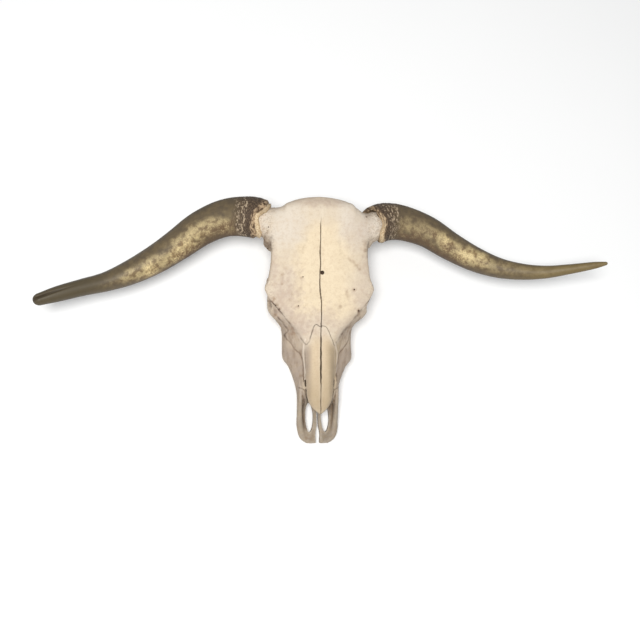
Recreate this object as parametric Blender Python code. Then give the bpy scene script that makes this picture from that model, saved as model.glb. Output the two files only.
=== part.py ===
"""Longhorn cattle skull without its lower jaw, lying face up on its cheek teeth and paracondylar processes.

The skull is modelled in its own face frame, in millimetres: X across the face (+X is the animal's left),
Y along the face from the tip of the upper jaw (0) to the poll, Z out of the forehead (0 at its plane).
The empty "rest_pose" then tips the face frame on to the floor.
"""

import math

import bmesh
import bpy
import numpy as np
from mathutils import Matrix, Vector

# ---------------------------------------------------------------- driving dimensions, in millimetres
MM = 0.001
FLOOR_SLOPE = 15.5         # degrees between the forehead plane and the chewing surface
FLOOR_DEPTH = 157.0        # depth of the chewing surface below the forehead plane, at the last molar
FLOOR_AT = 275.0           # where along the face that depth is measured
BONE_GAP = 0.5             # width of the thin cuts that part the bones
SOCKET_GAP = 1.0           # between each horn and its core
WALLS_REACH = 230.0        # depth below the forehead plane that every cut across the face reaches
VOXEL = 3.0                # grid of the clay when pieces are fused
HEAD_TRIANGLES = 4470      # of the head, before it is parted
CRUMB = 25.0               # a body shorter than this is a crumb of a cut, and no bone
FLAT_ANGLE = 2.0           # degrees between faces that count as one flat
SHARP_ANGLE = 40.0         # degrees between faces that meet in a sharp edge
BONE = (0.70, 0.62, 0.50)
KERATIN = (0.16, 0.11, 0.06)
BONE_ROUGHNESS = 0.6
KERATIN_ROUGHNESS = 0.4
SIDES = (-1, 1)
SIDE_NAMES = {-1: "right", 1: "left"}

# Each horn: where its rim is, the half width of its bone core, and (x, y, z, half width) along the sheath.
HORNS = {
    -1: {
        "rim": (116, 478, -50), "core": 35,
        "knots": [
            (116, 478, -50, 44.5), (148, 488, -62, 44.5), (200, 486, -73, 41.5), (252, 464, -76, 38),
            (304, 427, -73, 34.5), (356, 392, -66, 31), (407, 364, -56, 26), (456, 344, -45, 21),
            (505, 331, -32, 18.5), (553, 317, -18, 16.5), (590, 305, -7, 12.5), (604, 301, -4, 8),
        ],
    },
    1: {
        "rim": (121, 469, -50), "core": 34,
        "knots": [
            (121, 469, -50, 42), (152, 481, -64, 42), (194, 480, -72, 39), (250, 462, -75, 35),
            (305, 429, -73, 31.5), (359, 400, -65, 28), (412, 380, -55, 23), (464, 371, -43, 18.5),
            (515, 370, -29, 14.5), (565, 376, -14, 11.2), (616, 384, 0, 8), (642, 388, 8, 1.5),
        ],
    },
}

# Each cheek tooth: where it begins and ends, its half width, its distance from the middle, and its lobes.
TEETH = {
    "premolar_1": (140, 157, 8.5, 44, 1),
    "premolar_2": (157, 177, 10, 47, 1),
    "premolar_3": (177, 196, 11, 50, 1),
    "molar_1": (196, 221, 12, 53, 2),
    "molar_2": (221, 249, 12.5, 56, 2),
    "molar_3": (249, 279, 12, 57, 2),
}


# ---------------------------------------------------------------- modelling helpers
def clear_scene():
    for obj in list(bpy.data.objects):
        bpy.data.objects.remove(obj)


def between(a, b, c, d, t):
    """The point at t, from 0 to 1, on the smooth curve from b to c, with a before and d after."""
    bend, twist = 2 * a - 5 * b + 4 * c - d, 3 * b - a - 3 * c + d
    return 0.5 * (2 * b + (c - a) * t + bend * t**2 + twist * t**3)


def smooth_path(knots, steps):
    """Rows of numbers, led smoothly through the given rows (a Catmull-Rom curve); steps divide each span."""
    knots = np.array(knots, float)
    rows = np.vstack([2 * knots[0] - knots[1], knots, 2 * knots[-1] - knots[-2]])
    spans = zip(rows, rows[1:], rows[2:], rows[3:])
    path = [between(*span, t) for span in spans for t in np.arange(steps) / steps]
    return np.array([*path, knots[-1]])


def closed_curve(knots, steps):
    """A smooth closed outline through the given points."""
    knots = np.array(knots, float)
    spans = zip(np.roll(knots, 1, axis=0), knots, np.roll(knots, -1, axis=0), np.roll(knots, -2, axis=0))
    return np.array([between(*span, t) for span in spans for t in np.arange(steps) / steps])


def mesh_object(name, bm):
    bm.normal_update()
    bmesh.ops.recalc_face_normals(bm, faces=bm.faces)
    mesh = bpy.data.meshes.new(name)
    bm.to_mesh(mesh)
    bm.free()
    obj = bpy.data.objects.new(name, mesh)
    bpy.context.scene.collection.objects.link(obj)
    return obj


def loft(name, rings):
    """A closed skin over rings of points, all with the same count, capped at both ends."""
    bm = bmesh.new()
    loops = [[bm.verts.new(Vector(point) * MM) for point in ring] for ring in rings]
    for low, high in zip(loops, loops[1:]):
        for i in range(len(low)):
            j = (i + 1) % len(low)
            bm.faces.new((low[i], low[j], high[j], high[i]))
    bm.faces.new(loops[0])
    bm.faces.new(loops[-1])
    return mesh_object(name, bm)


def block(name, stations, steps=4, around=5):
    """A mirror-symmetric mass. Each station is (y, half outline), from the top middle down one side."""
    rings = []
    flat = [[y] + [c for point in half for c in point] for y, half in stations]
    for row in smooth_path(flat, steps):
        y, half = row[0], row[1:].reshape(-1, 2)
        other = [(-x, z) for x, z in half[-2:0:-1]]
        rings.append([(x, y, z) for x, z in closed_curve([*half, *other], around)])
    return loft(name, rings)


def limb(name, stations, up=(0, 0, 1), steps=6, around=20, side=1):
    """A bar along a smooth path. Each station is (x, y, z, half width across, half height along up)."""
    path = smooth_path(stations, steps)
    centres = path[:, :3]
    tangents = np.gradient(centres, axis=0)
    rings = []
    for centre, tangent, (across, high) in zip(centres, tangents, path[:, 3:5]):
        forward = Vector(tangent).normalized()
        sideways = forward.cross(Vector(up)).normalized()
        upward = sideways.cross(forward)
        rings.append([
            Vector(centre) + sideways * (across * math.cos(a)) + upward * (high * math.sin(a))
            for a in np.linspace(0, 2 * math.pi, around, endpoint=False)
        ])
    if side < 0:
        rings = [[(-p[0], p[1], p[2]) for p in ring] for ring in rings]
    return loft(name, rings)


def blob(name, centre, radii, turn=(0, 0, 0), side=1, fineness=3):
    """An ellipsoid, turned by degrees about X, Y and Z."""
    bm = bmesh.new()
    bmesh.ops.create_icosphere(bm, subdivisions=fineness, radius=1)
    place = (Matrix.Translation(Vector(centre) * MM)
             @ Matrix.Rotation(math.radians(turn[2]), 4, "Z")
             @ Matrix.Rotation(math.radians(turn[1]), 4, "Y")
             @ Matrix.Rotation(math.radians(turn[0]), 4, "X")
             @ Matrix.Diagonal((*[r * MM for r in radii], 1)))
    bm.transform(place)
    if side < 0:
        bm.transform(Matrix.Diagonal((-1, 1, 1, 1)))
    return mesh_object(name, bm)


def settled(obj):
    """Applies the object's modifiers."""
    bpy.context.view_layer.update()
    graph = bpy.context.evaluated_depsgraph_get()
    mesh = bpy.data.meshes.new_from_object(obj.evaluated_get(graph))
    old = obj.data
    obj.modifiers.clear()
    obj.data = mesh
    bpy.data.meshes.remove(old)
    return obj


def joined(name, pieces):
    """One object that holds all the pieces' meshes, still overlapping."""
    bm = bmesh.new()
    for piece in pieces:
        bm.from_mesh(piece.data)
        bpy.data.objects.remove(piece)
    return mesh_object(name, bm)


def fused(name, pieces, voxel=VOXEL, rounds=0):
    """The pieces pressed into one body of clay, its creases rubbed smooth in the given rounds."""
    obj = joined(name, pieces)
    remesh = obj.modifiers.new("clay", "REMESH")
    remesh.mode = "VOXEL"
    remesh.voxel_size = voxel * MM
    if rounds:
        rub = obj.modifiers.new("rub", "SMOOTH")
        rub.factor = 0.5
        rub.iterations = rounds
    return settled(obj)


def boolean(obj, other, operation):
    """Cuts the other body out of obj, or joins it on. The other is used up."""
    change = obj.modifiers.new(operation.lower(), "BOOLEAN")
    change.operation = operation
    change.object = other
    settled(obj)
    bpy.data.objects.remove(other)
    return obj


def carve(obj, cutters):
    for cutter in cutters:
        boolean(obj, cutter, "DIFFERENCE")
    return obj


# ---------------------------------------------------------------- the bones as masses of clay
def pair(make, name, *args, **more):
    """The same piece on both sides of the face."""
    return [make(f"{name}_{SIDE_NAMES[s]}", *args, side=s, **more) for s in SIDES]


def face_mass():
    """Nose, cheeks and palate, from the nose opening back to the orbits."""
    return block("face", [
        (112, [(0, -4), (15, -7), (34, -28), (44, -50), (42, -84), (0, -89)]),
        (130, [(0, -1), (16, -4), (37, -28), (50, -52), (45, -92), (0, -92)]),
        (160, [(0, 0), (17, -3), (40, -28), (63, -58), (52, -104), (0, -98)]),
        (177, [(0, 0), (18, -3), (43, -29), (76.5, -62), (57, -110), (0, -103)]),
        (205, [(0, 0), (21, -3), (48, -28), (75, -62), (62, -120), (0, -110)]),
        (236, [(0, 0), (36, -5), (60, -26), (75, -58), (66, -129), (0, -117)]),
        (252, [(0, 0), (48, -5), (72, -23), (80, -54), (68, -133), (0, -121)]),
        (270, [(0, 0), (60, -5), (88, -20), (101, -48), (70, -134), (0, -124)]),
        (290, [(0, 0), (70, -6), (101, -18), (109, -56), (62, -132), (0, -124)]),
        (320, [(0, 0), (80, -6), (110, -20), (104, -78), (46, -122), (0, -118)]),
    ])


def forehead():
    """The flat plate of the two frontal bones, from the root of the nose to the poll."""
    half_widths = [
        (250, 60), (270, 80), (290, 101), (310, 112), (330, 120), (348, 113), (370, 109), (395, 106),
        (415, 106), (440, 107), (470, 103), (491, 100), (503, 93), (512, 79), (519, 62), (524, 48),
        (528, 28), (529.5, 10),
    ]
    stations = []
    for y, x in half_widths:
        fall = 20 * max(0, (y - 497) / 34) ** 2
        edge = 10 + fall * 0.6
        stations.append((y, [
            (0, -fall), (0.6 * x, -2 - fall), (x - 7, -edge), (x, -edge - 11), (x - 13, -36), (0, -52),
        ]))
    return block("forehead", stations, steps=3)


def back_of_head():
    """Braincase and occiput."""
    return [
        blob("braincase", (0, 410, -78), (68, 92, 62)),
        blob("sphenoid", (0, 330, -80), (36, 56, 46)),
        block("occiput", [
            (395, [(0, -25), (50, -30), (66, -60), (66, -98), (44, -132), (0, -140)]),
            (415, [(0, -20), (60, -24), (86, -52), (92, -98), (56, -134), (0, -142)]),
            (440, [(0, -20), (60, -22), (96, -46), (99, -98), (62, -134), (0, -142)]),
            (466, [(0, -20), (70, -22), (96, -44), (92, -92), (56, -124), (0, -130)]),
            (486, [(0, -14), (70, -16), (92, -40), (84, -80), (46, -106), (0, -112)]),
            (502, [(0, -10), (60, -12), (80, -36), (68, -62), (34, -78), (0, -84)]),
            (514, [(0, -12), (46, -14), (62, -30), (48, -48), (24, -56), (0, -58)]),
        ]),
        *pair(limb, "temporal_crest", [
            (100, 444, -26, 14, 14), (107, 434, -40, 13, 13), (105, 429, -60, 13, 13), (95, 424, -86, 12, 12),
            (84, 420, -100, 12, 12),
        ], up=(0, 1, 0)),
        *pair(limb, "ear_tube", [(70, 427, -104, 13, 13), (90, 427, -100, 9, 9), (101, 427, -95, 7, 7)]),
        *pair(blob, "jaw_joint", (76, 404, -97), (22, 13, 8)),
        *pair(blob, "condyle", (29, 474, -128), (17, 21, 27), turn=(-25, 0, -20)),
        *pair(limb, "condyle_root", [(30, 440, -122, 18, 22), (30, 466, -126, 16, 22)]),
        limb("skull_base", [
            (0, 470, -146, 22, 7), (0, 452, -146, 24, 12), (0, 425, -145, 23, 14), (0, 395, -142, 17, 13),
            (0, 350, -132, 15, 13), (0, 300, -116, 14, 12),
        ]),
        *pair(blob, "base_tubercle", (15, 418, -153), (9, 13, 8)),
        *pair(blob, "ear_capsule", (42, 410, -143), (14, 21, 19)),
        *pair(limb, "paracondylar_process", [
            (62, 455, -96, 17, 25), (61, 457, -126, 14, 25), (57, 456, -154, 10.5, 20),
            (51, 452, -184, 8, 13), (46, 448, -210, 5.5, 8),
        ], up=(0, 1, 0)),
    ]


def horn_necks():
    """The bare bone at the root of each horn, a little longer than it ends up."""
    necks = []
    for side, horn in HORNS.items():
        (x, y, z), r = horn["rim"], horn["core"]
        necks.append(limb(f"neck_{SIDE_NAMES[side]}", [
            (50, y - 10, -40, r + 13, 36), (84, y - 7, -42, r + 2, 37), (x - 10, y - 4, z + 3, r, r - 1),
            (x + 8, y + 1, z - 2, r, r - 3),
        ], side=side))
    return necks


def palate_and_wings():
    """The hard palate as far as its front edge, the wings behind it, and the tubers behind the last teeth."""
    return [
        block("front_palate", [
            (-10, [(0, -57), (14, -57), (24, -57), (24, -64), (14, -65), (0, -65)]),
            (-2, [(0, -57), (18, -57), (34, -57), (34, -66), (18, -67), (0, -67)]),
            (10, [(0, -58), (22, -58), (41, -56), (40, -67), (22, -69), (0, -69)]),
            (30, [(0, -60), (22, -61), (44, -57), (42, -69), (22, -71), (0, -71)]),
            (60, [(0, -65), (22, -66), (43, -59), (41, -74), (22, -76), (0, -76)]),
            (95, [(0, -71), (22, -72), (43, -62), (40, -81), (22, -82), (0, -82)]),
            (132, [(0, -78), (22, -79), (45, -68), (45, -93), (22, -92), (0, -91)]),
        ]),
        *pair(limb, "pterygoid_wing", [
            (30, 290, -112, 8, 24), (25, 315, -118, 5, 34), (23, 340, -124, 4.5, 36), (24, 362, -128, 5, 26),
            (28, 385, -128, 7, 14),
        ]),
        *pair(blob, "molar_tuber", (52, 286, -112), (20, 16, 26)),
    ]


# ---------------------------------------------------------------- hollows cut out of the clay
def orbit_hollows():
    """The eye sockets, and the space behind them under the postorbital bars."""
    sockets = pair(blob, "socket", (108, 311, -48), (56, 31, 30), turn=(0, 0, 24))
    gaps = pair(limb, "temporal_gap", [
        (108, 322, -50, 26, 27), (94, 340, -54, 30, 27), (94, 368, -60, 26, 25), (98, 396, -60, 22, 20),
        (108, 422, -56, 13, 13),
    ])
    return [fused("orbit_hollow", pieces, rounds=3) for pieces in zip(sockets, gaps)]


def nose_hollow():
    """The nasal passage, open at the front, and the opening beside the free tips of the nasal bones."""
    return block("passage", [
        (80, [(0, -8), (24, -9), (33, -16), (33, -42), (28, -63), (0, -65)]),
        (110, [(0, -8), (24, -10), (33, -20), (34, -46), (28, -71), (0, -73)]),
        (150, [(0, -8), (22, -12), (34, -28), (40, -52), (36, -80), (0, -86)]),
        (200, [(0, -8), (22, -12), (34, -30), (44, -58), (36, -86), (0, -92)]),
        (240, [(0, -14), (20, -20), (30, -36), (36, -58), (28, -82), (0, -88)]),
    ])


def palate_openings():
    """The two palatine fissures, and the slot between the two premaxillae."""
    slot = limb("slot", [
        (0.6, -18, -60, 4.2, 30), (0.6, -4, -60, 4.6, 30), (0.6, 7, -61, 5.2, 30), (0.6, 16, -62, 5, 30),
        (0.6, 23, -63, 3.8, 30), (0.6, 30, -64, 2.4, 30), (0.6, 50, -66, 2, 30), (0.6, 92, -74, 1.7, 30),
    ])
    return [*pair(blob, "palatine_fissure", (17.6, 46.5, -68), (9.3, 33, 40)), slot]


def brain_opening():
    """The foramen magnum, between the condyles."""
    return limb("brain_opening", [
        (0, 520, -120, 20, 18), (0, 490, -121, 18, 16), (0, 462, -116, 16, 15), (0, 440, -106, 15, 15),
    ])


def throat_hollow():
    """The choanae: the two passages that open behind the palate, between the wings."""
    return limb("throat", [
        (0, 396, -150, 13, 6), (0, 360, -136, 15, 16), (0, 325, -118, 16, 22), (0, 296, -104, 15, 18),
        (0, 270, -98, 12, 12),
    ])


def palate_vault():
    """The arched roof of the mouth, between the tooth rows."""
    return block("vault", [
        (60, [(0, -79), (14, -80), (24, -84), (26, -110), (20, -150), (0, -150)]),
        (110, [(0, -86), (16, -88), (26, -94), (30, -120), (30, -160), (0, -160)]),
        (150, [(0, -97), (18, -99), (30, -108), (33, -140), (32, -180), (0, -180)]),
        (200, [(0, -111), (20, -113), (34, -124), (38, -160), (38, -200), (0, -200)]),
        (250, [(0, -119), (22, -121), (38, -134), (41, -170), (40, -210), (0, -210)]),
        (312, [(0, -124), (22, -126), (34, -142), (40, -170), (40, -210), (0, -210)]),
    ])


# ---------------------------------------------------------------- slender parts, added after the hollows
def bars():
    """Postorbital bars, orbit rims, zygomatic arches, the plates beside the nose opening and the vomer."""
    return [
        *pair(limb, "orbit_rim", [
            (78, 276, -24, 9, 9), (90, 273, -32, 9, 8), (97, 277, -46, 8, 8), (102, 286, -64, 7, 9),
            (102, 301, -80, 7, 10), (101, 327, -87, 7, 10),
        ]),
        *pair(limb, "postorbital_bar", [
            (102, 340, -13, 13, 8), (107, 344, -30, 8, 10), (107, 347, -50, 6.5, 9), (105, 348, -72, 6.5, 9),
            (101, 349, -92, 8, 10),
        ], up=(0, 1, 0)),
        *pair(limb, "zygomatic_arch", [
            (95, 286, -90, 6, 15), (100, 318, -92, 5.5, 13), (99, 345, -91, 5.5, 10), (95, 375, -88, 5, 9),
            (91, 400, -88, 6, 10), (82, 420, -94, 9, 13),
        ]),
        *pair(limb, "facial_crest", [
            (68, 170, -62, 5, 6), (70, 184, -64, 5, 7), (69, 212, -67, 5, 8), (71, 240, -69, 5, 8),
            (84, 266, -76, 8, 9),
        ]),
        *pair(limb, "nose_plate", [
            (37, 138, -32, 4, 11), (34.5, 118, -31, 4.5, 11), (31.5, 102, -35, 4.5, 10),
            (29.5, 90, -41, 4, 9), (28, 79, -48, 3, 6),
        ]),
        limb("vomer", [
            (0, 235, -86, 3, 26), (0, 180, -84, 2.6, 18), (0, 130, -79, 3, 10), (0, 92, -72, 5, 4),
        ]),
    ]


def nasal_bones():
    """The two long bones of the bridge of the nose, free at their tips."""
    stations = []
    for y, x in [(59, 3), (62.5, 7.5), (66.5, 12), (71, 16.5), (78, 21.5), (86, 25.5), (98, 28.5),
                 (125, 30.5), (170, 31), (258, 32)]:
        z = -5 * max(0, (110 - y) / 50) ** 1.5
        thick = 3.5 + 5 * min(1, x / 28)
        stations.append((y, [
            (0, z), (0.4 * x, z - 0.03 * x), (0.7 * x, z - 0.17 * x), (0.9 * x, z - 0.39 * x),
            (x, z - 0.57 * x), (0.93 * x, z - 0.65 * x), (0.6 * x, z - 0.25 * x - thick), (0, z - thick),
        ]))
    return block("nasals", stations)


def side_bars():
    """The upright plate of each premaxilla, along the nose opening."""
    return pair(limb, "side_bar", [
        (35, 10, -59, 6, 4), (38, 28, -58, 6, 6), (39.2, 48, -56, 5.6, 10), (39.7, 70, -53, 5.2, 15),
        (39.9, 95, -50, 5, 20), (40, 118, -49, 5, 22), (42, 140, -54, 5, 19), (44, 162, -62, 5, 12),
    ])


def chewing_level(y):
    """Height of the floor, in the face frame."""
    return -FLOOR_DEPTH - (y - FLOOR_AT) * math.tan(math.radians(FLOOR_SLOPE))


def cheek_teeth():
    teeth = []
    for name, (start, end, width, x, lobes) in TEETH.items():
        span = (end - start) / lobes
        for lobe in range(lobes):
            y = start + span * (lobe + 0.5)
            low = chewing_level(y)
            teeth += pair(limb, f"{name}_lobe{lobe}", [
                (x, y, low - 3, width - 1, span * 0.52), (x, y, low + 8, width, span * 0.54),
                (x - 1, y + 1, low + 26, width - 1, span * 0.5),
            ], up=(0, 1, 0))
    return teeth


def head_clay():
    masses = [face_mass(), forehead(), *back_of_head(), *horn_necks(), *palate_and_wings()]
    solid = fused("head", masses, rounds=6)
    carve(solid, [nose_hollow(), *orbit_hollows(), throat_hollow(), palate_vault(), brain_opening()])
    head = fused("head", [solid, *bars(), nasal_bones(), *side_bars(), *cheek_teeth()], rounds=2)
    return carve(head, [*pair(blob, "eye_opening", (127, 314, -51), (44, 27, 29)), *palate_openings()])


# ---------------------------------------------------------------- horns
def horn_skin(side, grown=0.0):
    """The outside of a horn sheath; grown, it also clears the rim."""
    knots = np.array(HORNS[side]["knots"], float)
    outward = knots[1, :3] - knots[0, :3]
    knots[0, :3] -= outward / np.linalg.norm(outward) * grown
    stations = [(x, y, z, r + grown, r * 0.95 + grown) for x, y, z, r in knots]
    return limb(f"horn_{SIDE_NAMES[side]}", stations, steps=2, around=18, side=side)


def horn_core(side, grown=0.0):
    """The stub of bone that holds the horn; grown by the gap, it is the horn's socket."""
    (x, y, z), r = HORNS[side]["rim"], HORNS[side]["core"] - 2 + grown
    return limb("core", [
        (x - 26, y - 9, z + 9, r, r - 3), (x, y - 1, z, r, r - 3), (x + 12, y + 3, z - 5, r - 1, r - 4),
        (x + 23 + 2 * grown, y + 6.5 + grown, z - 9 - grown, r - 3, r - 6),
    ], steps=2, around=18, side=side)


def seat_horns(head):
    """Trims each neck to its horn's rim, adds the core, and hollows the horn over it."""
    horns = []
    for side in SIDES:
        carve(head, [horn_skin(side, grown=SOCKET_GAP)])
        boolean(head, horn_core(side), "UNION")
        horns.append(carve(horn_skin(side), [horn_core(side, grown=SOCKET_GAP)]))
    return horns


# ---------------------------------------------------------------- cuts between the bones
def sheet(name, rows, gap=BONE_GAP):
    """A thin bent sheet of even thickness, through a grid of points."""
    bm = bmesh.new()
    grid = [[bm.verts.new(Vector(p) * MM) for p in row] for row in rows]
    for low, high in zip(grid, grid[1:]):
        for a, b, c, d in zip(low, low[1:], high, high[1:]):
            bm.faces.new((a, b, d))
            bm.faces.new((a, d, c))
    obj = mesh_object(name, bm)
    thick = obj.modifiers.new("thick", "SOLIDIFY")
    thick.thickness = gap * MM
    thick.offset = 0
    thick.use_even_offset = True
    return settled(obj)


def wall(name, stations, high=30):
    """A thin wall across the face. Each station is (x, y at the top, y below)."""
    mirrored = [(-x, top, low) for x, top, low in stations[:0:-1]]
    rows = []
    for x, top, low in [*mirrored, *stations]:
        rows.append([(x, top, high), (x, top, high - 42), (x, low, -90), (x, low, -WALLS_REACH)])
    return sheet(name, rows)


def brow_cut():
    """The seam in front of the frontal bones, where the nasals, lacrimals and cheek bones begin."""
    return wall("brow_cut", [
        (0, 249, 304), (10, 250, 304), (17, 243, 304), (24, 224, 304), (31, 208, 304), (37, 216, 304),
        (45, 229, 305), (62, 249, 307), (86, 279, 330), (104, 300, 348), (150, 345, 356),
    ])


def nasal_tray():
    """The cut under and beside both nasal bones."""
    beside = [(34, 20), (33, -12), (31, -23), (0, -17), (-31, -23), (-33, -12), (-34, 20)]
    free = [(x, z - 3 * (z < 0)) for x, z in beside]
    under = [(x, min(z, -11)) for x, z in beside]
    sections = [
        (94, free), (108, free), (122, beside), (170, beside), (211, beside), (214, under), (262, under),
    ]
    return sheet("nasal_tray", [[(x, y, z) for x, z in section] for y, section in sections])


def nasal_gap():
    """The open seam between the nasal bones, widest in the middle of their length."""
    widths = [(50, 0.3), (80, 0.5), (110, 0.9), (140, 1.5), (180, 1.7), (210, 1.2), (235, 0.8), (256, 0.6)]
    stations = []
    for y, half in widths:
        low = -27 if y < 220 else -21
        stations.append([(-half, y, 20), (half, y, 20), (half, y, low), (-half, y, low)])
    return loft("nasal_gap", stations)


def palate_cut():
    """The seam between the two upper jaws. It runs in the middle of the palate, and beside the vomer."""
    vomer_side = -3.6
    roof = [(80, -74), (110, -81), (150, -92), (200, -101), (240, -105), (312, -108)]
    return sheet("palate_cut", [
        [(0, y, -WALLS_REACH), (0, y, level), (vomer_side, y, level), (vomer_side, y, -11)]
        for y, level in roof
    ])


def snout_cut():
    """The seam between the premaxillae and the maxillae. It passes under the nasal bones."""
    course = [(0, 88), (22, 87), (30, 99), (35, 112), (60, 118)]
    return wall("snout_cut", [(x, y, y) for x, y in course], high=-16)


def brow_crack():
    """The narrow crack along the seam of the two frontal bones."""
    course = [
        (246, 0), (275, 0.6), (300, 0.9), (325, -1.6), (355, -2.2), (380, -0.6), (410, -1.4), (440, -0.8),
        (475, 0.2), (498, 0), (507, 0.4),
    ]
    return loft("brow_crack", [
        [(x - 0.9, y, 12), (x + 0.9, y, 12), (x + 0.5, y, -6.5), (x - 0.5, y, -6.5)] for y, x in course
    ])


def drilled_hole():
    """The round hole bored through the forehead."""
    along = [(3, 364, z, 4, 4) for z in (20, 0, -20)]
    return limb("drilled_hole", along, up=(0, 1, 0), steps=1, around=16)


def floor_block():
    """Everything under the floor, which the chewing surfaces and paracondylar tips are worn flat against."""
    front, back, side, deep = -60, 560, 150, -400
    return loft("floor_block", [
        [(x, front, chewing_level(front)), (x, back, chewing_level(back)), (x, back, deep), (x, front, deep)]
        for x in (-side, side)
    ])


def shells(bm):
    """The separate closed bodies of a mesh, each as a list of its faces, in the order they join up."""
    seen, found = set(), []
    for first in bm.faces:
        if first in seen:
            continue
        seen.add(first)
        shell = [first]
        for face in shell:
            for near in (other for edge in face.edges for other in edge.link_faces):
                if near not in seen:
                    seen.add(near)
                    shell.append(near)
        found.append(shell)
    return found


def bone_name(middle, top):
    """The bone that a body is, from its middle point and the height of its top, in millimetres."""
    side = "left" if middle.x > 0 else "right"
    if middle.y > 300:
        return "cranium"
    if middle.y < 80 and top < -20:
        return f"premaxilla_{side}"
    return f"nasal_{side}" if middle.z > -25 else f"maxilla_{side}"


def part_bones(head):
    """Cuts the head into its bones, and makes an object of each."""
    carve(head, [brow_crack(), drilled_hole(), floor_block()])
    carve(head, [brow_cut(), nasal_tray(), nasal_gap(), palate_cut(), snout_cut()])
    whole = bmesh.new()
    whole.from_mesh(head.data)
    bones = []
    for shell in shells(whole):
        points = list(dict.fromkeys(vert for face in shell for vert in face.verts))
        low = Vector(min(vert.co[k] for vert in points) for k in range(3)) / MM
        high = Vector(max(vert.co[k] for vert in points) for k in range(3)) / MM
        if (high - low).length < CRUMB:
            continue
        bone = bmesh.new()
        copies = {vert: bone.verts.new(vert.co) for vert in points}
        for face in shell:
            bone.faces.new([copies[vert] for vert in face.verts])
        bones.append(mesh_object(bone_name((low + high) / 2, high.z), bone))
    whole.free()
    bpy.data.objects.remove(head)
    return bones


def thin_out(obj, triangles):
    """Fewer triangles, the surface kept as close as they allow."""
    count = sum(len(face.vertices) - 2 for face in obj.data.polygons)
    decimate = obj.modifiers.new("thin", "DECIMATE")
    decimate.ratio = triangles / count
    return settled(obj)


def merge_flats(obj):
    """Drops the points that only subdivide a flat."""
    flats = obj.modifiers.new("flats", "DECIMATE")
    flats.decimate_type = "DISSOLVE"
    flats.angle_limit = math.radians(FLAT_ANGLE)
    return settled(obj)


# ---------------------------------------------------------------- finish
def finish(obj, material_name, rgb, roughness):
    """Its own plain material, and smooth shading between the sharp edges."""
    material = bpy.data.materials.new(f"{obj.name}_{material_name}")
    material.use_nodes = True
    shader = material.node_tree.nodes["Principled BSDF"]
    shader.inputs["Base Color"].default_value = (*rgb, 1)
    shader.inputs["Roughness"].default_value = roughness
    shader.inputs["Metallic"].default_value = 0
    obj.data.materials.clear()
    obj.data.materials.append(material)
    obj.data.shade_smooth()
    obj.data.set_sharp_from_angle(angle=math.radians(SHARP_ANGLE))


def lay_down(pieces):
    """Hangs the pieces on an empty that tips them on to their teeth, with the origin under their middle."""
    rest_pose = bpy.data.objects.new("rest_pose", None)
    bpy.context.scene.collection.objects.link(rest_pose)
    rest_pose.rotation_euler.x = math.radians(FLOOR_SLOPE)
    tip = rest_pose.rotation_euler.to_matrix()
    points = np.array([tip @ vert.co for piece in pieces for vert in piece.data.vertices])
    low, high = points.min(axis=0), points.max(axis=0)
    rest_pose.location = (-(low[0] + high[0]) / 2, -(low[1] + high[1]) / 2, -low[2])
    for piece in pieces:
        piece.parent = rest_pose
    print("face frame's zero at", rest_pose.location / MM, "size", (high - low) / MM)


def main():
    clear_scene()
    head = thin_out(head_clay(), HEAD_TRIANGLES)
    horns = seat_horns(head)
    bones = part_bones(head)
    for bone in bones:
        merge_flats(bone)
        finish(bone, "bone", BONE, BONE_ROUGHNESS)
    for horn in horns:
        finish(horn, "keratin", KERATIN, KERATIN_ROUGHNESS)
    lay_down(bones + horns)


main()
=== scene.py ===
# %% [markdown]
# # A longhorn skull, dry and weathered
#
# The object is the skull of a longhorn steer without its lower jaw: seven pieces of bone, two rows of cheek
# teeth and two sheaths of horn. It lies face up, as such a skull rests on a table.
#
# A skull could be sculpted by hand with a brush, or lofted as one skin. This script works like a modeller
# in clay instead: simple masses are pressed together, hollows are cut out, the lump is sawn apart along its
# sutures, and only then is the surface worked. Every step is a few numbers that can be changed and run
# again.

# %% The frame
import math

import bmesh
import bpy
import numpy as np
from mathutils import Matrix, Vector


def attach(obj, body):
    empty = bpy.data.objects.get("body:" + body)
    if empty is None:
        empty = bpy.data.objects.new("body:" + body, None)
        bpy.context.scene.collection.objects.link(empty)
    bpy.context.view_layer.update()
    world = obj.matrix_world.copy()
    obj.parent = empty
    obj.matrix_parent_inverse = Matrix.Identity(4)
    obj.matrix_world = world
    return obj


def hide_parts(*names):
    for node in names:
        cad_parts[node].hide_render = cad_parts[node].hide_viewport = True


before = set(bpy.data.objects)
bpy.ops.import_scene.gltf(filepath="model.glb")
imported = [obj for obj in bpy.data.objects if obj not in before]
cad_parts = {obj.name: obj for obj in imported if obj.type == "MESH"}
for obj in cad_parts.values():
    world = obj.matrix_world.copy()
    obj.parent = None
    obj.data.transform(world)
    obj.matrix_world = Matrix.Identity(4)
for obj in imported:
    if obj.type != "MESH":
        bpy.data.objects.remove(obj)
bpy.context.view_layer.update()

# %% [markdown]
# ## The face frame
#
# On the real skull everything is easiest to measure from the forehead: X across it (+X is the animal's
# left), Y from the tip of the upper jaw to the poll, Z out of it. All the shapes below are in that frame,
# in millimetres. `REST` then tips the finished pieces on to their teeth, just where the solids lie.

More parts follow.
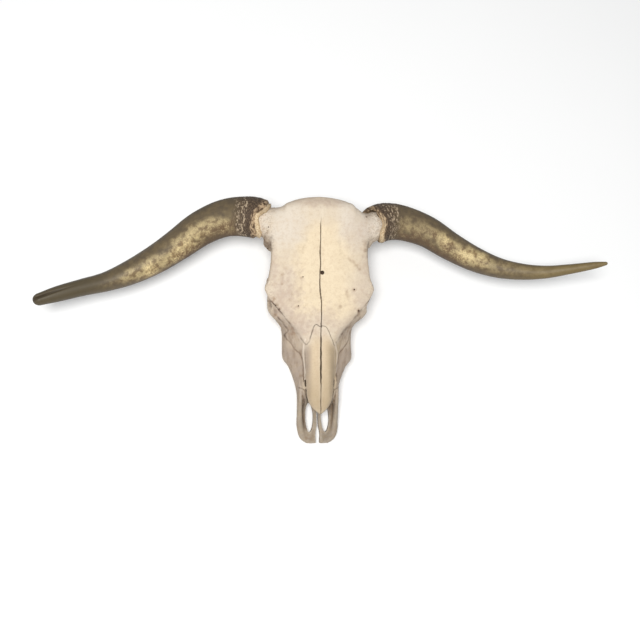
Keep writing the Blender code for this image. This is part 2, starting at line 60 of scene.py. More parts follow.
# %% Driving dimensions, in millimetres
MM = 0.001
FLOOR_SLOPE = math.radians(15.5)     # between the forehead plane and the chewing surface
FLOOR_DEPTH, FLOOR_AT = 157.0, 275.0  # how far the chewing surface lies below the forehead, at this Y
FACE_ZERO = Vector((-18.038, -269.648, 77.799)) * MM  # where the face frame's zero lies once the skull rests
REST = Matrix.Translation(FACE_ZERO) @ Matrix.Rotation(FLOOR_SLOPE, 4, "X")
SUTURE = 0.4                         # width of a closed seam between two bones
FLOOR_GAP = 0.05                     # the bone stays this far above the floor
WALLS_REACH = 230.0                  # how deep the cuts across the face go
CLAY_GRID = 3.0                      # grid that the rough masses are pressed together on
BONE_GRID = 1.8                      # grid of the finished bone
SIDES = {-1: "right", 1: "left"}

HORNS = {  # each horn's rim, the half width of its bone neck, and (x, y, z, half width) along its sheath
    -1: {
        "rim": (116, 478, -50), "neck": 35,
        "knots": [
            (116, 478, -50, 44.5), (148, 488, -62, 44.5), (200, 486, -73, 41.5), (252, 464, -76, 38),
            (304, 427, -73, 34.5), (356, 392, -66, 31), (407, 364, -56, 26), (456, 344, -45, 21),
            (505, 331, -32, 18.5), (553, 317, -18, 16.5), (589, 305.5, -7, 13),
        ],
    },
    1: {
        "rim": (121, 469, -50), "neck": 34,
        "knots": [
            (121, 469, -50, 42), (152, 481, -64, 42), (194, 480, -72, 39), (250, 462, -75, 35),
            (305, 429, -73, 31.5), (359, 400, -65, 28), (412, 380, -55, 23), (464, 371, -43, 18.5),
            (515, 370, -29, 14.5), (565, 376, -14, 11.2), (616, 384, 0, 8), (640, 388, 7.5, 4.2),
        ],
    },
}

TEETH = {  # where each cheek tooth begins and ends, its half width, its distance from the middle, its lobes
    "premolar_1": (140, 157, 8.5, 44, 1),
    "premolar_2": (157, 177, 10, 47, 1),
    "premolar_3": (177, 196, 11, 50, 1),
    "molar_1": (196, 221, 12, 53, 2),
    "molar_2": (221, 249, 12.5, 56, 2),
    "molar_3": (249, 279, 12, 57, 2),
}


def chewing_level(y):
    """Height of the floor that the skull rests on, in the face frame."""
    return -FLOOR_DEPTH - (y - FLOOR_AT) * math.tan(FLOOR_SLOPE)


print("the floor lies", round(-chewing_level(FLOOR_AT), 1), "mm below the forehead's plane at the last molar")

# %% [markdown]
# ## Curves and noise
#
# Bone has no straight lines, so each list of places is led smoothly through its points. And nothing grown
# is quite even: one function gives soft random values in space, and every bump, stain and wandering seam
# uses it.

# %% Smooth curves
def between(a, b, c, d, t):
    """The point at t, from 0 to 1, on the smooth curve from b to c, with a before and d after."""
    bend, twist = 2 * a - 5 * b + 4 * c - d, 3 * b - a - 3 * c + d
    return 0.5 * (2 * b + (c - a) * t + bend * t**2 + twist * t**3)


def smooth_path(knots, steps):
    """Rows of numbers, led smoothly through the given rows; steps divide each span."""
    knots = np.array(knots, float)
    rows = np.vstack([2 * knots[0] - knots[1], knots, 2 * knots[-1] - knots[-2]])
    spans = zip(rows, rows[1:], rows[2:], rows[3:])
    path = [between(*span, t) for span in spans for t in np.arange(steps) / steps]
    return np.array([*path, knots[-1]])


def closed_curve(knots, steps):
    """A smooth closed outline through the given points."""
    knots = np.array(knots, float)
    spans = zip(np.roll(knots, 1, axis=0), knots, np.roll(knots, -1, axis=0), np.roll(knots, -2, axis=0))
    return np.array([between(*span, t) for span in spans for t in np.arange(steps) / steps])


def lengths_along(points):
    """How far along a path of points each point lies."""
    steps = np.linalg.norm(np.diff(points, axis=0), axis=1)
    return np.concatenate([[0], np.cumsum(steps)])


arch = smooth_path([(0, 0), (10, 10), (20, 0)], 2)
print("an arch through three points:", arch.tolist(), "its length:", lengths_along(arch)[-1].round(1))

# %% Noise
LATTICE = 32  # the random values repeat after this many cells


def noise(points, size, seed, octaves=1):
    """Soft random values from -1 to 1, changing over `size` millimetres, finer with each octave."""
    values = np.random.default_rng(seed).uniform(-1, 1, (LATTICE,) * 3)
    points = np.asarray(points, float) / size
    total, strength = np.zeros(len(points)), 0.0
    for octave in range(octaves):
        place = points * 2**octave + 7.3 * octave
        cell = np.floor(place).astype(int)
        part = place - cell
        part = part * part * (3 - 2 * part)
        blend = np.zeros(len(points))
        for corner in np.ndindex(2, 2, 2):
            near = (cell + corner) % LATTICE
            weight = np.prod(np.where(corner, part, 1 - part), axis=1)
            blend += weight * values[near[:, 0], near[:, 1], near[:, 2]]
        total += blend / 2**octave
        strength += 1 / 2**octave
    return total / strength


def ramp(values, start, end):
    """0 before start and 1 after end, with a soft step between. End may be the smaller one."""
    part = np.clip((np.asarray(values, float) - start) / (end - start), 0, 1)
    return part * part * (3 - 2 * part)


print("noise at three places:", noise([(0, 0, 0), (5, 0, 0), (10, 0, 0)], 8, seed=1).round(2))

# %% [markdown]
# ## Clay tools
#
# Three kinds of mass are enough. A `block` is lofted through mirror-symmetric outlines, for the face and
# the forehead. A `limb` is a bar along a path, for arches, processes and tubes. A `blob` is an ellipsoid,
# for the braincase and the eye sockets. They are pressed together by a voxel remesh, which melts touching
# meshes into one closed skin, and cut with exact Booleans.

# %% Masses
def mesh_object(name, bm):
    bm.normal_update()
    bmesh.ops.recalc_face_normals(bm, faces=bm.faces)
    mesh = bpy.data.meshes.new(name)
    bm.to_mesh(mesh)
    bm.free()
    obj = bpy.data.objects.new(name, mesh)
    bpy.context.scene.collection.objects.link(obj)
    return obj


def loft(name, rings):
    """A closed skin over rings of points, all with the same count, capped at both ends."""
    bm = bmesh.new()
    loops = [[bm.verts.new(Vector(point) * MM) for point in ring] for ring in rings]
    for low, high in zip(loops, loops[1:]):
        for i in range(len(low)):
            j = (i + 1) % len(low)
            bm.faces.new((low[i], low[j], high[j], high[i]))
    bm.faces.new(loops[0])
    bm.faces.new(loops[-1])
    return mesh_object(name, bm)


def block(name, stations, steps=6, around=6):
    """A mirror-symmetric mass. Each station is (y, half outline), from the top middle down one side."""
    rings = []
    flat = [[y] + [c for point in half for c in point] for y, half in stations]
    for row in smooth_path(flat, steps):
        y, half = row[0], row[1:].reshape(-1, 2)
        other = [(-x, z) for x, z in half[-2:0:-1]]
        rings.append([(x, y, z) for x, z in closed_curve([*half, *other], around)])
    return loft(name, rings)


def limb(name, stations, up=(0, 0, 1), steps=6, around=24, side=1):
    """A bar along a smooth path. Each station is (x, y, z, half width across, half height along up)."""
    path = smooth_path(stations, steps)
    rings = []
    for centre, tangent, (across, high) in zip(path[:, :3], np.gradient(path[:, :3], axis=0), path[:, 3:5]):
        forward = Vector(tangent).normalized()
        sideways = forward.cross(Vector(up)).normalized()
        upward = sideways.cross(forward)
        rings.append([
            Vector(centre) + sideways * (across * math.cos(a)) + upward * (high * math.sin(a))
            for a in np.linspace(0, 2 * math.pi, around, endpoint=False)
        ])
    if side < 0:
        rings = [[(-p[0], p[1], p[2]) for p in ring] for ring in rings]
    return loft(name, rings)


def blob(name, centre, radii, turn=(0, 0, 0), side=1):
    """An ellipsoid, turned by degrees about X, Y and Z."""
    bm = bmesh.new()
    bmesh.ops.create_icosphere(bm, subdivisions=4, radius=1)
    turns = [Matrix.Rotation(math.radians(angle), 4, axis) for angle, axis in zip(turn, "XYZ")]
    grown = Matrix.Diagonal((*[r * MM for r in radii], 1))
    bm.transform(Matrix.Translation(Vector(centre) * MM) @ turns[2] @ turns[1] @ turns[0] @ grown)
    if side < 0:
        bm.transform(Matrix.Diagonal((-1, 1, 1, 1)))
    return mesh_object(name, bm)


def pair(make, name, *args, **more):
    """The same piece on both sides of the face."""
    return [make(f"{name}_{SIDES[side]}", *args, side=side, **more) for side in SIDES]


# %% Pressing together and cutting
def settled(obj):
    """Applies the object's modifiers."""
    bpy.context.view_layer.update()
    graph = bpy.context.evaluated_depsgraph_get()
    mesh = bpy.data.meshes.new_from_object(obj.evaluated_get(graph))
    old = obj.data
    obj.modifiers.clear()
    obj.data = mesh
    bpy.data.meshes.remove(old)
    return obj


def joined(name, pieces):
    """One object that holds all the pieces' meshes, each still whole."""
    bm = bmesh.new()
    for piece in pieces:
        bm.from_mesh(piece.data)
        bpy.data.objects.remove(piece)
    return mesh_object(name, bm)


def fused(name, pieces, grid, rounds):
    """The pieces pressed into one body of clay, its creases rubbed smooth in the given rounds."""
    obj = joined(name, pieces)
    clay = obj.modifiers.new("clay", "REMESH")
    clay.mode = "VOXEL"
    clay.voxel_size = grid * MM
    rub = obj.modifiers.new("rub", "SMOOTH")
    rub.factor = 0.5
    rub.iterations = rounds
    return settled(obj)


def carve(obj, cutters):
    """Cuts the other bodies out of obj, and uses them up."""
    for cutter in cutters:
        cut = obj.modifiers.new("cut", "BOOLEAN")
        cut.operation = "DIFFERENCE"
        cut.object = cutter
        settled(obj)
        bpy.data.objects.remove(cutter)
    return obj


# %% [markdown]
# ## The head as masses of clay
#
# The real head is some thirty bones grown together around air and brain. For the outside it is enough to
# know where each mass lies: the face block tapers to the nose, the forehead is a flat plate from the nasal
# root to the poll, and braincase and occiput hang below it. Widths follow the photo; depths are those of
# grown cattle.

# %% Face and forehead
def face_mass():
    """Nose, cheeks and palate, from the nose opening back to the orbits."""
    return block("face", [
        (112, [(0, -4), (15, -7), (34, -28), (44, -50), (42, -84), (0, -89)]),
        (130, [(0, -1), (16, -4), (37, -28), (50, -52), (45, -92), (0, -92)]),
        (160, [(0, 0), (17, -3), (40, -28), (63, -58), (52, -104), (0, -98)]),
        (177, [(0, 0), (18, -3), (43, -29), (76.5, -62), (57, -110), (0, -103)]),
        (205, [(0, 0), (21, -3), (48, -28), (75, -62), (62, -120), (0, -110)]),
        (236, [(0, 0), (36, -5), (60, -26), (75, -58), (66, -129), (0, -117)]),
        (252, [(0, 0), (48, -5), (72, -23), (80, -54), (68, -133), (0, -121)]),
        (270, [(0, 0), (60, -5), (88, -20), (101, -48), (70, -134), (0, -124)]),
        (290, [(0, 0), (70, -6), (101, -18), (109, -56), (62, -132), (0, -124)]),
        (320, [(0, 0), (80, -6), (110, -20), (104, -78), (46, -122), (0, -118)]),
    ])


def forehead():
    """The flat plate of the two frontal bones, from the root of the nose to the poll."""
    half_widths = [
        (250, 60), (270, 80), (290, 101), (310, 112), (330, 120), (348, 113), (370, 109), (395, 106),
        (415, 106), (440, 107), (470, 103), (491, 100), (503, 93), (512, 79), (519, 62), (524, 48),
        (528, 28), (529.5, 10),
    ]
    stations = []
    for y, x in half_widths:
        fall = 20 * max(0, (y - 497) / 34) ** 2
        edge = 10 + fall * 0.6
        stations.append((y, [
            (0, -fall), (0.6 * x, -2 - fall), (x - 7, -edge), (x, -edge - 11), (x - 13, -36), (0, -52),
        ]))
    return block("forehead", stations, steps=3)


masses = [face_mass(), forehead()]
print("masses:", [mass.name for mass in masses])

# %% Back of the head and horn necks
def back_of_head():
    """Braincase and occiput, with the joints for the neck and the jaw."""
    return [
        blob("braincase", (0, 410, -78), (68, 92, 62)),
        blob("sphenoid", (0, 330, -80), (36, 56, 46)),
        block("occiput", [
            (395, [(0, -25), (50, -30), (66, -60), (66, -98), (44, -132), (0, -140)]),
            (415, [(0, -20), (60, -24), (86, -52), (92, -98), (56, -134), (0, -142)]),
            (440, [(0, -20), (60, -22), (96, -46), (99, -98), (62, -134), (0, -142)]),
            (466, [(0, -20), (70, -22), (96, -44), (92, -92), (56, -124), (0, -130)]),
            (486, [(0, -14), (70, -16), (92, -40), (84, -80), (46, -106), (0, -112)]),
            (502, [(0, -10), (60, -12), (80, -36), (68, -62), (34, -78), (0, -84)]),
            (514, [(0, -12), (46, -14), (62, -30), (48, -48), (24, -56), (0, -58)]),
        ]),
        *pair(limb, "temporal_crest", [
            (100, 444, -26, 14, 14), (107, 434, -40, 13, 13), (105, 429, -60, 13, 13), (95, 424, -86, 12, 12),
            (84, 420, -100, 12, 12),
        ], up=(0, 1, 0)),
        *pair(limb, "ear_tube", [(70, 427, -104, 13, 13), (90, 427, -100, 9, 9), (101, 427, -95, 7, 7)]),
        *pair(blob, "jaw_joint", (76, 404, -97), (22, 13, 8)),
        *pair(blob, "condyle", (29, 474, -128), (17, 21, 27), turn=(-25, 0, -20)),
        *pair(limb, "condyle_root", [(30, 440, -122, 18, 22), (30, 466, -126, 16, 22)]),
        limb("skull_base", [
            (0, 470, -146, 22, 7), (0, 452, -146, 24, 12), (0, 425, -145, 23, 14), (0, 395, -142, 17, 13),
            (0, 350, -132, 15, 13), (0, 300, -116, 14, 12),
        ]),
        *pair(blob, "base_tubercle", (15, 418, -153), (9, 13, 8)),
        *pair(blob, "ear_capsule", (42, 410, -143), (14, 21, 19)),
        *pair(limb, "paracondylar_process", [
            (62, 455, -96, 17, 25), (61, 457, -126, 14, 25), (57, 456, -154, 10.5, 20),
            (51, 452, -184, 8, 13), (46, 448, -210, 5.5, 8),
        ], up=(0, 1, 0)),
    ]


def horn_necks():
    """The bare bone at the root of each horn, and the core that runs on inside the sheath."""
    necks = []
    for side, horn in HORNS.items():
        (x, y, z), r = horn["rim"], horn["neck"]
        necks.append(limb(f"neck_{SIDES[side]}", [
            (50, y - 10, -40, r + 13, 36), (84, y - 7, -42, r + 2, 37), (x - 12, y - 4, z + 3, r, r),
            (x - 1, y - 1, z, r - 1, r - 2), (x + 18, y + 5, z - 7, r - 4, r - 6),
        ], side=side))
    return necks


masses += [*back_of_head(), *horn_necks()]
print("with the back of the head and the horn necks there are", len(masses), "masses")

# %% Palate and wings
def palate_and_wings():
    """The hard palate as far as its front edge, the wings behind it, and the tubers behind the last teeth."""
    return [
        block("front_palate", [
            (-10, [(0, -57), (14, -57), (24, -57), (24, -64), (14, -65), (0, -65)]),
            (-2, [(0, -57), (18, -57), (34, -57), (34, -66), (18, -67), (0, -67)]),
            (10, [(0, -58), (22, -58), (41, -56), (40, -67), (22, -69), (0, -69)]),
            (30, [(0, -60), (22, -61), (44, -57), (42, -69), (22, -71), (0, -71)]),
            (60, [(0, -65), (22, -66), (43, -59), (41, -74), (22, -76), (0, -76)]),
            (95, [(0, -71), (22, -72), (43, -62), (40, -81), (22, -82), (0, -82)]),
            (132, [(0, -78), (22, -79), (45, -68), (45, -93), (22, -92), (0, -91)]),
        ]),
        *pair(limb, "pterygoid_wing", [
            (30, 290, -112, 8, 24), (25, 315, -118, 5, 34), (23, 340, -124, 4.5, 36), (24, 362, -128, 5, 26),
            (28, 385, -128, 7, 14),
        ]),
        *pair(blob, "molar_tuber", (52, 286, -112), (20, 16, 26)),
    ]


masses += palate_and_wings()
print("with the palate there are", len(masses), "masses")

# %% [markdown]
# ## Hollows
#
# What makes a skull read as a skull is its openings: eye sockets that pass on into the gap behind the
# postorbital bar, the nose, the choanae behind the palate, the arched roof of the mouth and the foramen
# magnum. Each is a body of its own that is cut away. The slender bars are added after that, so that no
# cutter can touch them.

# %% Hollows cut out of the clay
def orbit_hollows():
    """The eye sockets, and the space behind them under the postorbital bars."""
    sockets = pair(blob, "socket", (108, 311, -48), (56, 31, 30), turn=(0, 0, 24))
    gaps = pair(limb, "temporal_gap", [
        (108, 322, -50, 26, 27), (94, 340, -54, 30, 27), (94, 368, -60, 26, 25), (98, 396, -60, 22, 20),
        (108, 422, -56, 13, 13),
    ])
    return [fused("orbit_hollow", pieces, CLAY_GRID, rounds=3) for pieces in zip(sockets, gaps)]


def nose_hollow():
    """The nasal passage, open at the front."""
    return block("passage", [
        (80, [(0, -8), (24, -9), (33, -16), (33, -42), (28, -63), (0, -65)]),
        (110, [(0, -8), (24, -10), (33, -20), (34, -46), (28, -71), (0, -73)]),
        (150, [(0, -8), (22, -12), (34, -28), (40, -52), (36, -80), (0, -86)]),
        (200, [(0, -8), (22, -12), (34, -30), (44, -58), (36, -86), (0, -92)]),
        (240, [(0, -14), (20, -20), (30, -36), (36, -58), (28, -82), (0, -88)]),
    ])


def mouth_and_throat():
    """The arched roof of the mouth, the choanae behind the palate, and the foramen magnum."""
    vault = block("vault", [
        (60, [(0, -79), (14, -80), (24, -84), (26, -110), (20, -150), (0, -150)]),
        (110, [(0, -86), (16, -88), (26, -94), (30, -120), (30, -160), (0, -160)]),
        (150, [(0, -97), (18, -99), (30, -108), (33, -140), (32, -180), (0, -180)]),
        (200, [(0, -111), (20, -113), (34, -124), (38, -160), (38, -200), (0, -200)]),
        (250, [(0, -119), (22, -121), (38, -134), (41, -170), (40, -210), (0, -210)]),
        (312, [(0, -124), (22, -126), (34, -142), (40, -170), (40, -210), (0, -210)]),
    ])
    throat = limb("throat", [
        (0, 396, -150, 13, 6), (0, 360, -136, 15, 16), (0, 325, -118, 16, 22), (0, 296, -104, 15, 18),
        (0, 270, -98, 12, 12),
    ])
    brain = limb("brain_opening", [
        (0, 520, -120, 20, 18), (0, 490, -121, 18, 16), (0, 462, -116, 16, 15), (0, 440, -106, 15, 15),
    ])
    return [vault, throat, brain]


def fine_openings():
    """The eye openings, the palatine fissures, and the slot between the two premaxillae."""
    slot = limb("slot", [
        (0.6, -18, -60, 4.2, 30), (0.6, -4, -60, 4.6, 30), (0.6, 7, -61, 5.2, 30), (0.6, 16, -62, 5, 30),
        (0.6, 23, -63, 3.8, 30), (0.6, 30, -64, 2.4, 30), (0.6, 50, -66, 2, 30), (0.6, 92, -74, 1.7, 30),
    ])
    eyes = pair(blob, "eye_opening", (127, 314, -51), (44, 27, 29))
    return [*eyes, *pair(blob, "palatine_fissure", (17.6, 46.5, -68), (9.3, 33, 40)), slot]


hollows = [nose_hollow(), *orbit_hollows(), *mouth_and_throat()]
openings = fine_openings()
print(len(hollows), "deep hollows and", len(openings), "fine openings")

# %% [markdown]
# ## Slender parts
#
# The bars round the eye, the arch of the cheek, the vomer in the nose and the bars beside the palate are
# only a few millimetres thick. They could be left standing while the hollows are cut round them, but it is
# surer to lay them in afterwards, as bars along a path, and to press everything together once more on a
# finer grid.

# %% Slender parts added after the hollows
def slender_parts():
    """Orbit rims, postorbital bars, zygomatic arches, facial crests and the vomer."""
    return [
        *pair(limb, "orbit_rim", [
            (78, 276, -24, 9, 9), (90, 273, -32, 9, 8), (97, 277, -46, 8, 8), (102, 286, -64, 7, 9),
            (102, 301, -80, 7, 10), (101, 327, -87, 7, 10),
        ]),
        *pair(limb, "postorbital_bar", [
            (102, 340, -13, 13, 8), (107, 344, -30, 8, 10), (107, 347, -50, 6.5, 9), (105, 348, -72, 6.5, 9),
            (101, 349, -92, 8, 10),
        ], up=(0, 1, 0)),
        *pair(limb, "zygomatic_arch", [
            (95, 286, -90, 6, 15), (100, 318, -92, 5.5, 13), (99, 345, -91, 5.5, 10), (95, 375, -88, 5, 9),
            (91, 400, -88, 6, 10), (82, 420, -94, 9, 13),
        ]),
        *pair(limb, "facial_crest", [
            (68, 170, -62, 5, 6), (70, 184, -64, 5, 7), (69, 212, -67, 5, 8), (71, 240, -69, 5, 8),
            (84, 266, -76, 8, 9),
        ]),
        *pair(limb, "nose_plate", [
            (37, 138, -32, 4, 11), (34.5, 118, -31, 4.5, 11), (31.5, 102, -35, 4.5, 10),
            (29.5, 90, -41, 4, 9), (28, 79, -48, 3, 6),
        ]),
        limb("vomer", [
            (0, 235, -86, 3, 26), (0, 180, -84, 2.6, 18), (0, 130, -79, 3, 10), (0, 92, -72, 5, 4),
        ]),
        *pair(limb, "side_bar", [
            (35, 10, -59, 6, 4), (38, 28, -58, 6, 6), (39.2, 48, -56, 5.6, 10), (39.7, 70, -53, 5.2, 15),
            (39.9, 95, -50, 5, 20), (40, 118, -49, 5, 22), (42, 140, -54, 5, 19), (44, 162, -62, 5, 12),
        ]),
    ]


def nasal_bones():
    """The two long bones of the bridge of the nose, free at their tips."""
    half_widths = [
        (59, 3), (62.5, 7.5), (66.5, 12), (71, 16.5), (78, 21.5), (86, 25.5), (98, 28.5), (125, 30.5),
        (170, 31), (258, 32),
    ]
    stations = []
    for y, x in half_widths:
        z = -5 * max(0, (110 - y) / 50) ** 1.5
        thick = 3.5 + 5 * min(1, x / 28)
        stations.append((y, [
            (0, z), (0.4 * x, z - 0.03 * x), (0.7 * x, z - 0.17 * x), (0.9 * x, z - 0.39 * x),
            (x, z - 0.57 * x), (0.93 * x, z - 0.65 * x), (0.6 * x, z - 0.25 * x - thick), (0, z - thick),
        ]))
    return block("nasals", stations)


slender = [*slender_parts(), nasal_bones()]
print(len(slender), "slender parts")

# %% One lump of clay
rough = carve(fused("head", masses, CLAY_GRID, rounds=6), hollows)
head = carve(fused("head", [rough, *slender], BONE_GRID, rounds=8), openings)
print("the head in one lump has", len(head.data.polygons), "faces")

# %% [markdown]
# ## Sutures and cracks
#
# Real sutures interlock in small waves. Each seam here is a thin sheet that wanders from side to side as it
# goes, and cutting the lump with it leaves separate bones with a fine dark line between them. The crack
# along the middle of the forehead and the wider gap between the nasal bones are wedges cut the same way.

# %% Seams that wander
def wandering(course, step, swing, seed, wave=6.0):
    """The course in even steps, with its second number swinging as a suture does."""
    dense = smooth_path(course, 12)
    along = lengths_along(dense[:, :2])
    even = np.arange(0, along[-1], step)
    rows = np.column_stack([np.interp(even, along, column) for column in dense.T])
    sway = noise(np.column_stack([even, even * 0, even * 0]), wave, seed, octaves=2) * swing
    rows[:, 1] += sway
    rows[:, 0] += np.roll(sway, 5) * 0.6
    return rows


def sheet(name, rows, gap=SUTURE):
    """A thin bent sheet of even thickness, through a grid of points."""
    bm = bmesh.new()
    grid = [[bm.verts.new(Vector(p) * MM) for p in row] for row in rows]
    for low, high in zip(grid, grid[1:]):
        for a, b, c, d in zip(low, low[1:], high, high[1:]):
            bm.faces.new((a, b, d))
            bm.faces.new((a, d, c))
    obj = mesh_object(name, bm)
    thick = obj.modifiers.new("thick", "SOLIDIFY")
    thick.thickness = gap * MM
    thick.offset = 0
    thick.use_even_offset = True
    return settled(obj)


BROW_COURSE = wandering([  # x, y at the top, y deep below: the seam in front of the frontal bones
    (-150, 345, 356), (-104, 300, 348), (-86, 279, 330), (-62, 249, 307), (-46, 229, 305), (-38, 218, 304),
    (-31, 209, 304), (-27, 213, 304), (-24, 220, 304), (-19, 237, 304), (-16, 246, 304), (-11, 252, 304),
    (-4, 249, 304), (4, 249, 304), (10, 248, 304), (15, 242, 304), (20, 231, 304), (26, 217, 304),
    (31, 207, 304), (37, 215, 304), (45, 228, 305), (62, 249, 307), (86, 279, 330), (104, 300, 348),
    (150, 345, 356),
], step=1.6, swing=1.0, seed=11)
SNOUT_COURSE = wandering([  # x, y: the seam between the premaxillae and the maxillae
    (-60, 118), (-35, 112), (-30, 99), (-22, 87), (0, 88), (22, 87), (30, 99), (35, 112), (60, 118),
], step=1.6, swing=0.9, seed=12)
CRACK_COURSE = wandering([  # y, x: the crack in the middle of the forehead
    (246, 0.8), (275, 1.0), (300, 1.2), (325, -1.8), (355, -2.4), (380, -0.8), (410, -1.4), (440, -0.8),
    (475, -0.2), (500, 0.4), (509, 0.4),
], step=2.0, swing=0.45, seed=13, wave=9)
print("steps in each course:", len(BROW_COURSE), len(SNOUT_COURSE), len(CRACK_COURSE))

# %% The sheets that part the bones
def brow_cut():
    return sheet("brow_cut", [
        [(x, top, 30), (x, top, -12), (x, deep, -90), (x, deep, -WALLS_REACH)] for x, top, deep in BROW_COURSE
    ])


def snout_cut():
    """Passes under the nasal bones."""
    heights = (-16, -58, -90, -WALLS_REACH)
    return sheet("snout_cut", [[(x, y, z) for z in heights] for x, y in SNOUT_COURSE])


def nasal_tray():
    """The cut under and beside both nasal bones."""
    beside = [(34, 20), (33, -12), (31, -23), (0, -17), (-31, -23), (-33, -12), (-34, 20)]
    stations = []
    for y in np.arange(94, 263, 2.9):
        lift = ramp(y, 211, 214)  # behind this its sides stay below the surface
        sway = 0.5 * noise([(y, 0, 0), (y, 40, 0)], 9, seed=14)
        section = []
        for i, (x, z) in enumerate(beside):
            drop = 3 * (z < 0) * (1 - ramp(y, 108, 122))  # deeper under the free tips
            section.append((x + sway[i // 4], y, (z - drop) * (1 - lift) + min(z, -11) * lift))
        stations.append(section)
    return sheet("nasal_tray", stations)


def palate_cut():
    """The seam in the middle of the palate, which passes beside the vomer further up."""
    vomer_side = -3.6
    roof = smooth_path([(80, -74), (110, -81), (150, -92), (200, -101), (240, -105), (312, -108)], 10)
    rows = []
    for (y, level), sway in zip(roof, noise(roof[:, :1] * (1, 0, 0), 7, seed=17, octaves=2)):
        x = 0.8 * sway
        rows.append([(x, y, -WALLS_REACH), (x, y, level), (vomer_side, y, level), (vomer_side, y, -11)])
    return sheet("palate_cut", rows)


seams = [palate_cut(), snout_cut(), brow_cut(), nasal_tray()]
print(len(seams), "sheets,", SUTURE, "mm thick")

# %% The open cracks
def wedge(name, course, depth):
    """A crack along Y that narrows downwards. Each station is (y, x, half width at the top)."""
    return loft(name, [
        [(x - half, y, 12), (x + half, y, 12), (x + half * 0.4, y, -depth), (x - half * 0.4, y, -depth)]
        for y, x, half in course
    ])


def brow_crack():
    course = []
    for y, x in CRACK_COURSE:
        width = 1.05 - 0.8 * ramp(y, 408, 448)
        course.append((y, x, width + 0.2 * noise([(y, 0, 0)], 7, seed=15)[0]))
    return wedge("brow_crack", course, depth=9)


def nasal_gap():
    """The open seam between the nasal bones, widest in the middle of their length."""
    course = []
    for y in np.arange(50, 258, 2.6):
        half = 0.35 + 1.35 * ramp(y, 80, 150) * (1 - 0.6 * ramp(y, 190, 245))
        sway, wear = noise([(y, 0, 0), (y, 90, 0)], 10, seed=16)
        course.append((y, 0.4 * sway, half + 0.3 * wear))
    upper = wedge("nasal_gap", course, depth=27)
    for vert in upper.data.vertices:  # further back the gap is less deep
        if vert.co.y > 219 * MM and vert.co.z < 0:
            vert.co.z = -21 * MM
    return upper


crack, gap = brow_crack(), nasal_gap()
print("wedges:", crack.name, gap.name)

# %% [markdown]
# ## Holes
#
# Foramina are the small round holes that let blood vessels and nerves out of the bone. They could be
# painted as dark dots, but real holes catch the light at their edges. Each is a tapered pin that enters
# from above where the photo shows one. The largest hole is 8 mm wide and was bored by someone, to hang the
# skull.

# %% Foramina and the bored hole
FORAMINA = [  # x, y on the face, radius
    (-38.7, 354.8, 1.1), (73, 328, 1.2), (-48.8, 292.4, 0.8), (-89.7, 285, 1.6), (-97, 293, 1.1),
    (84, 282, 1.5), (103, 487, 1.2), (-112, 462, 1.0),
]
HOLE = (3, 364, 4.0)


def pin(name, x, y, radius, depth):
    """A round tapered cutter that enters the bone from above, as deep as asked below the surface there."""
    found, place, _, _ = head.ray_cast(Vector((x, y, 60)) * MM, Vector((0, 0, -1)))
    surface = place.z / MM if found else 0
    stations = [(x, y, surface + 5, radius * 1.25, radius * 1.1), (x, y, surface, radius, radius * 0.9),
                (x, y, surface - depth, radius * 0.6, radius * 0.55)]
    return limb(name, stations, up=(0, 1, 0), steps=1, around=14)


def infraorbital(name, side=1):
    """The nerve opening low on each cheek, above the first teeth. It points forward."""
    return limb(name, [
        (72, 132, -70, 4.5, 6), (60, 150, -72, 4, 5.5), (50, 168, -74, 2.5, 3.5),
    ], side=side, around=18)


def bored_holes():
    pins = [pin("foramen", x, y, radius, depth=5 + radius) for x, y, radius in FORAMINA]
    x, y, radius = HOLE
    bore = limb("bore", [(x, y, 20, radius, radius), (x, y, -20, radius, radius)], up=(0, 1, 0), steps=1)
    return joined("holes", [*pins, bore, *pair(infraorbital, "infraorbital")])


carve(head, [bored_holes(), crack, *seams, gap])
print("the head is parted along its seams")

# %% [markdown]
# ## Separate bones
#
# After the cuts the mesh holds several closed bodies. Walking from face to face finds each one, and its
# place says which bone it is. Crumbs that a wandering seam leaves behind are dropped.

# %% Each bone an object of its own
CRUMB = 25.0  # a body shorter than this, in millimetres, is a crumb
SPECK = 0.03  # points closer than this are one


def shells(bm):
    """The separate closed bodies of a mesh, each as a list of its faces, in the order they join up."""
    seen, found = set(), []
    for first in bm.faces:
        if first in seen:
            continue
        seen.add(first)
        shell = [first]
        for face in shell:
            for near in (other for edge in face.edges for other in edge.link_faces):
                if near not in seen:
                    seen.add(near)
                    shell.append(near)
        found.append(shell)
    return found


def bone_name(middle, top):
    side = "left" if middle.x > 0 else "right"
    if middle.y > 300:
        return "cranium"
    if middle.y < 80 and top < -20:
        return f"premaxilla_{side}"
    return f"nasal_{side}" if middle.z > -25 else f"maxilla_{side}"


def part_bones(lump):
    whole = bmesh.new()
    whole.from_mesh(lump.data)
    bmesh.ops.remove_doubles(whole, verts=whole.verts, dist=SPECK * MM)
    bones = {}
    for shell in shells(whole):
        points = list(dict.fromkeys(vert for face in shell for vert in face.verts))
        places = np.array([vert.co for vert in points]) / MM
        low, high = Vector(places.min(axis=0)), Vector(places.max(axis=0))
        if (high - low).length < CRUMB:
            continue
        bone = bmesh.new()
        copies = {vert: bone.verts.new(vert.co) for vert in points}
        for face in shell:
            corners = [copies[vert] for vert in face.verts]
            if not bone.faces.get(corners):
                bone.faces.new(corners)
        name = bone_name((low + high) / 2, high.z)
        bones[name] = mesh_object(name + "_bone", bone)
    whole.free()
    bpy.data.objects.remove(lump)
    return bones


bones = part_bones(head)
print({name: len(bone.data.polygons) for name, bone in bones.items()})

# %% [markdown]
# ## Working the surface
#
# Weathered bone is never smooth: broad hollows, fine pitting, rough fields where muscle and horn took hold.
# All of that is added by moving each point of the mesh along its normal, by amounts that depend on where it
# is. The same sums also give the masks that the material uses: where the bone yellows, where it is ashen,
# where dirt sits.

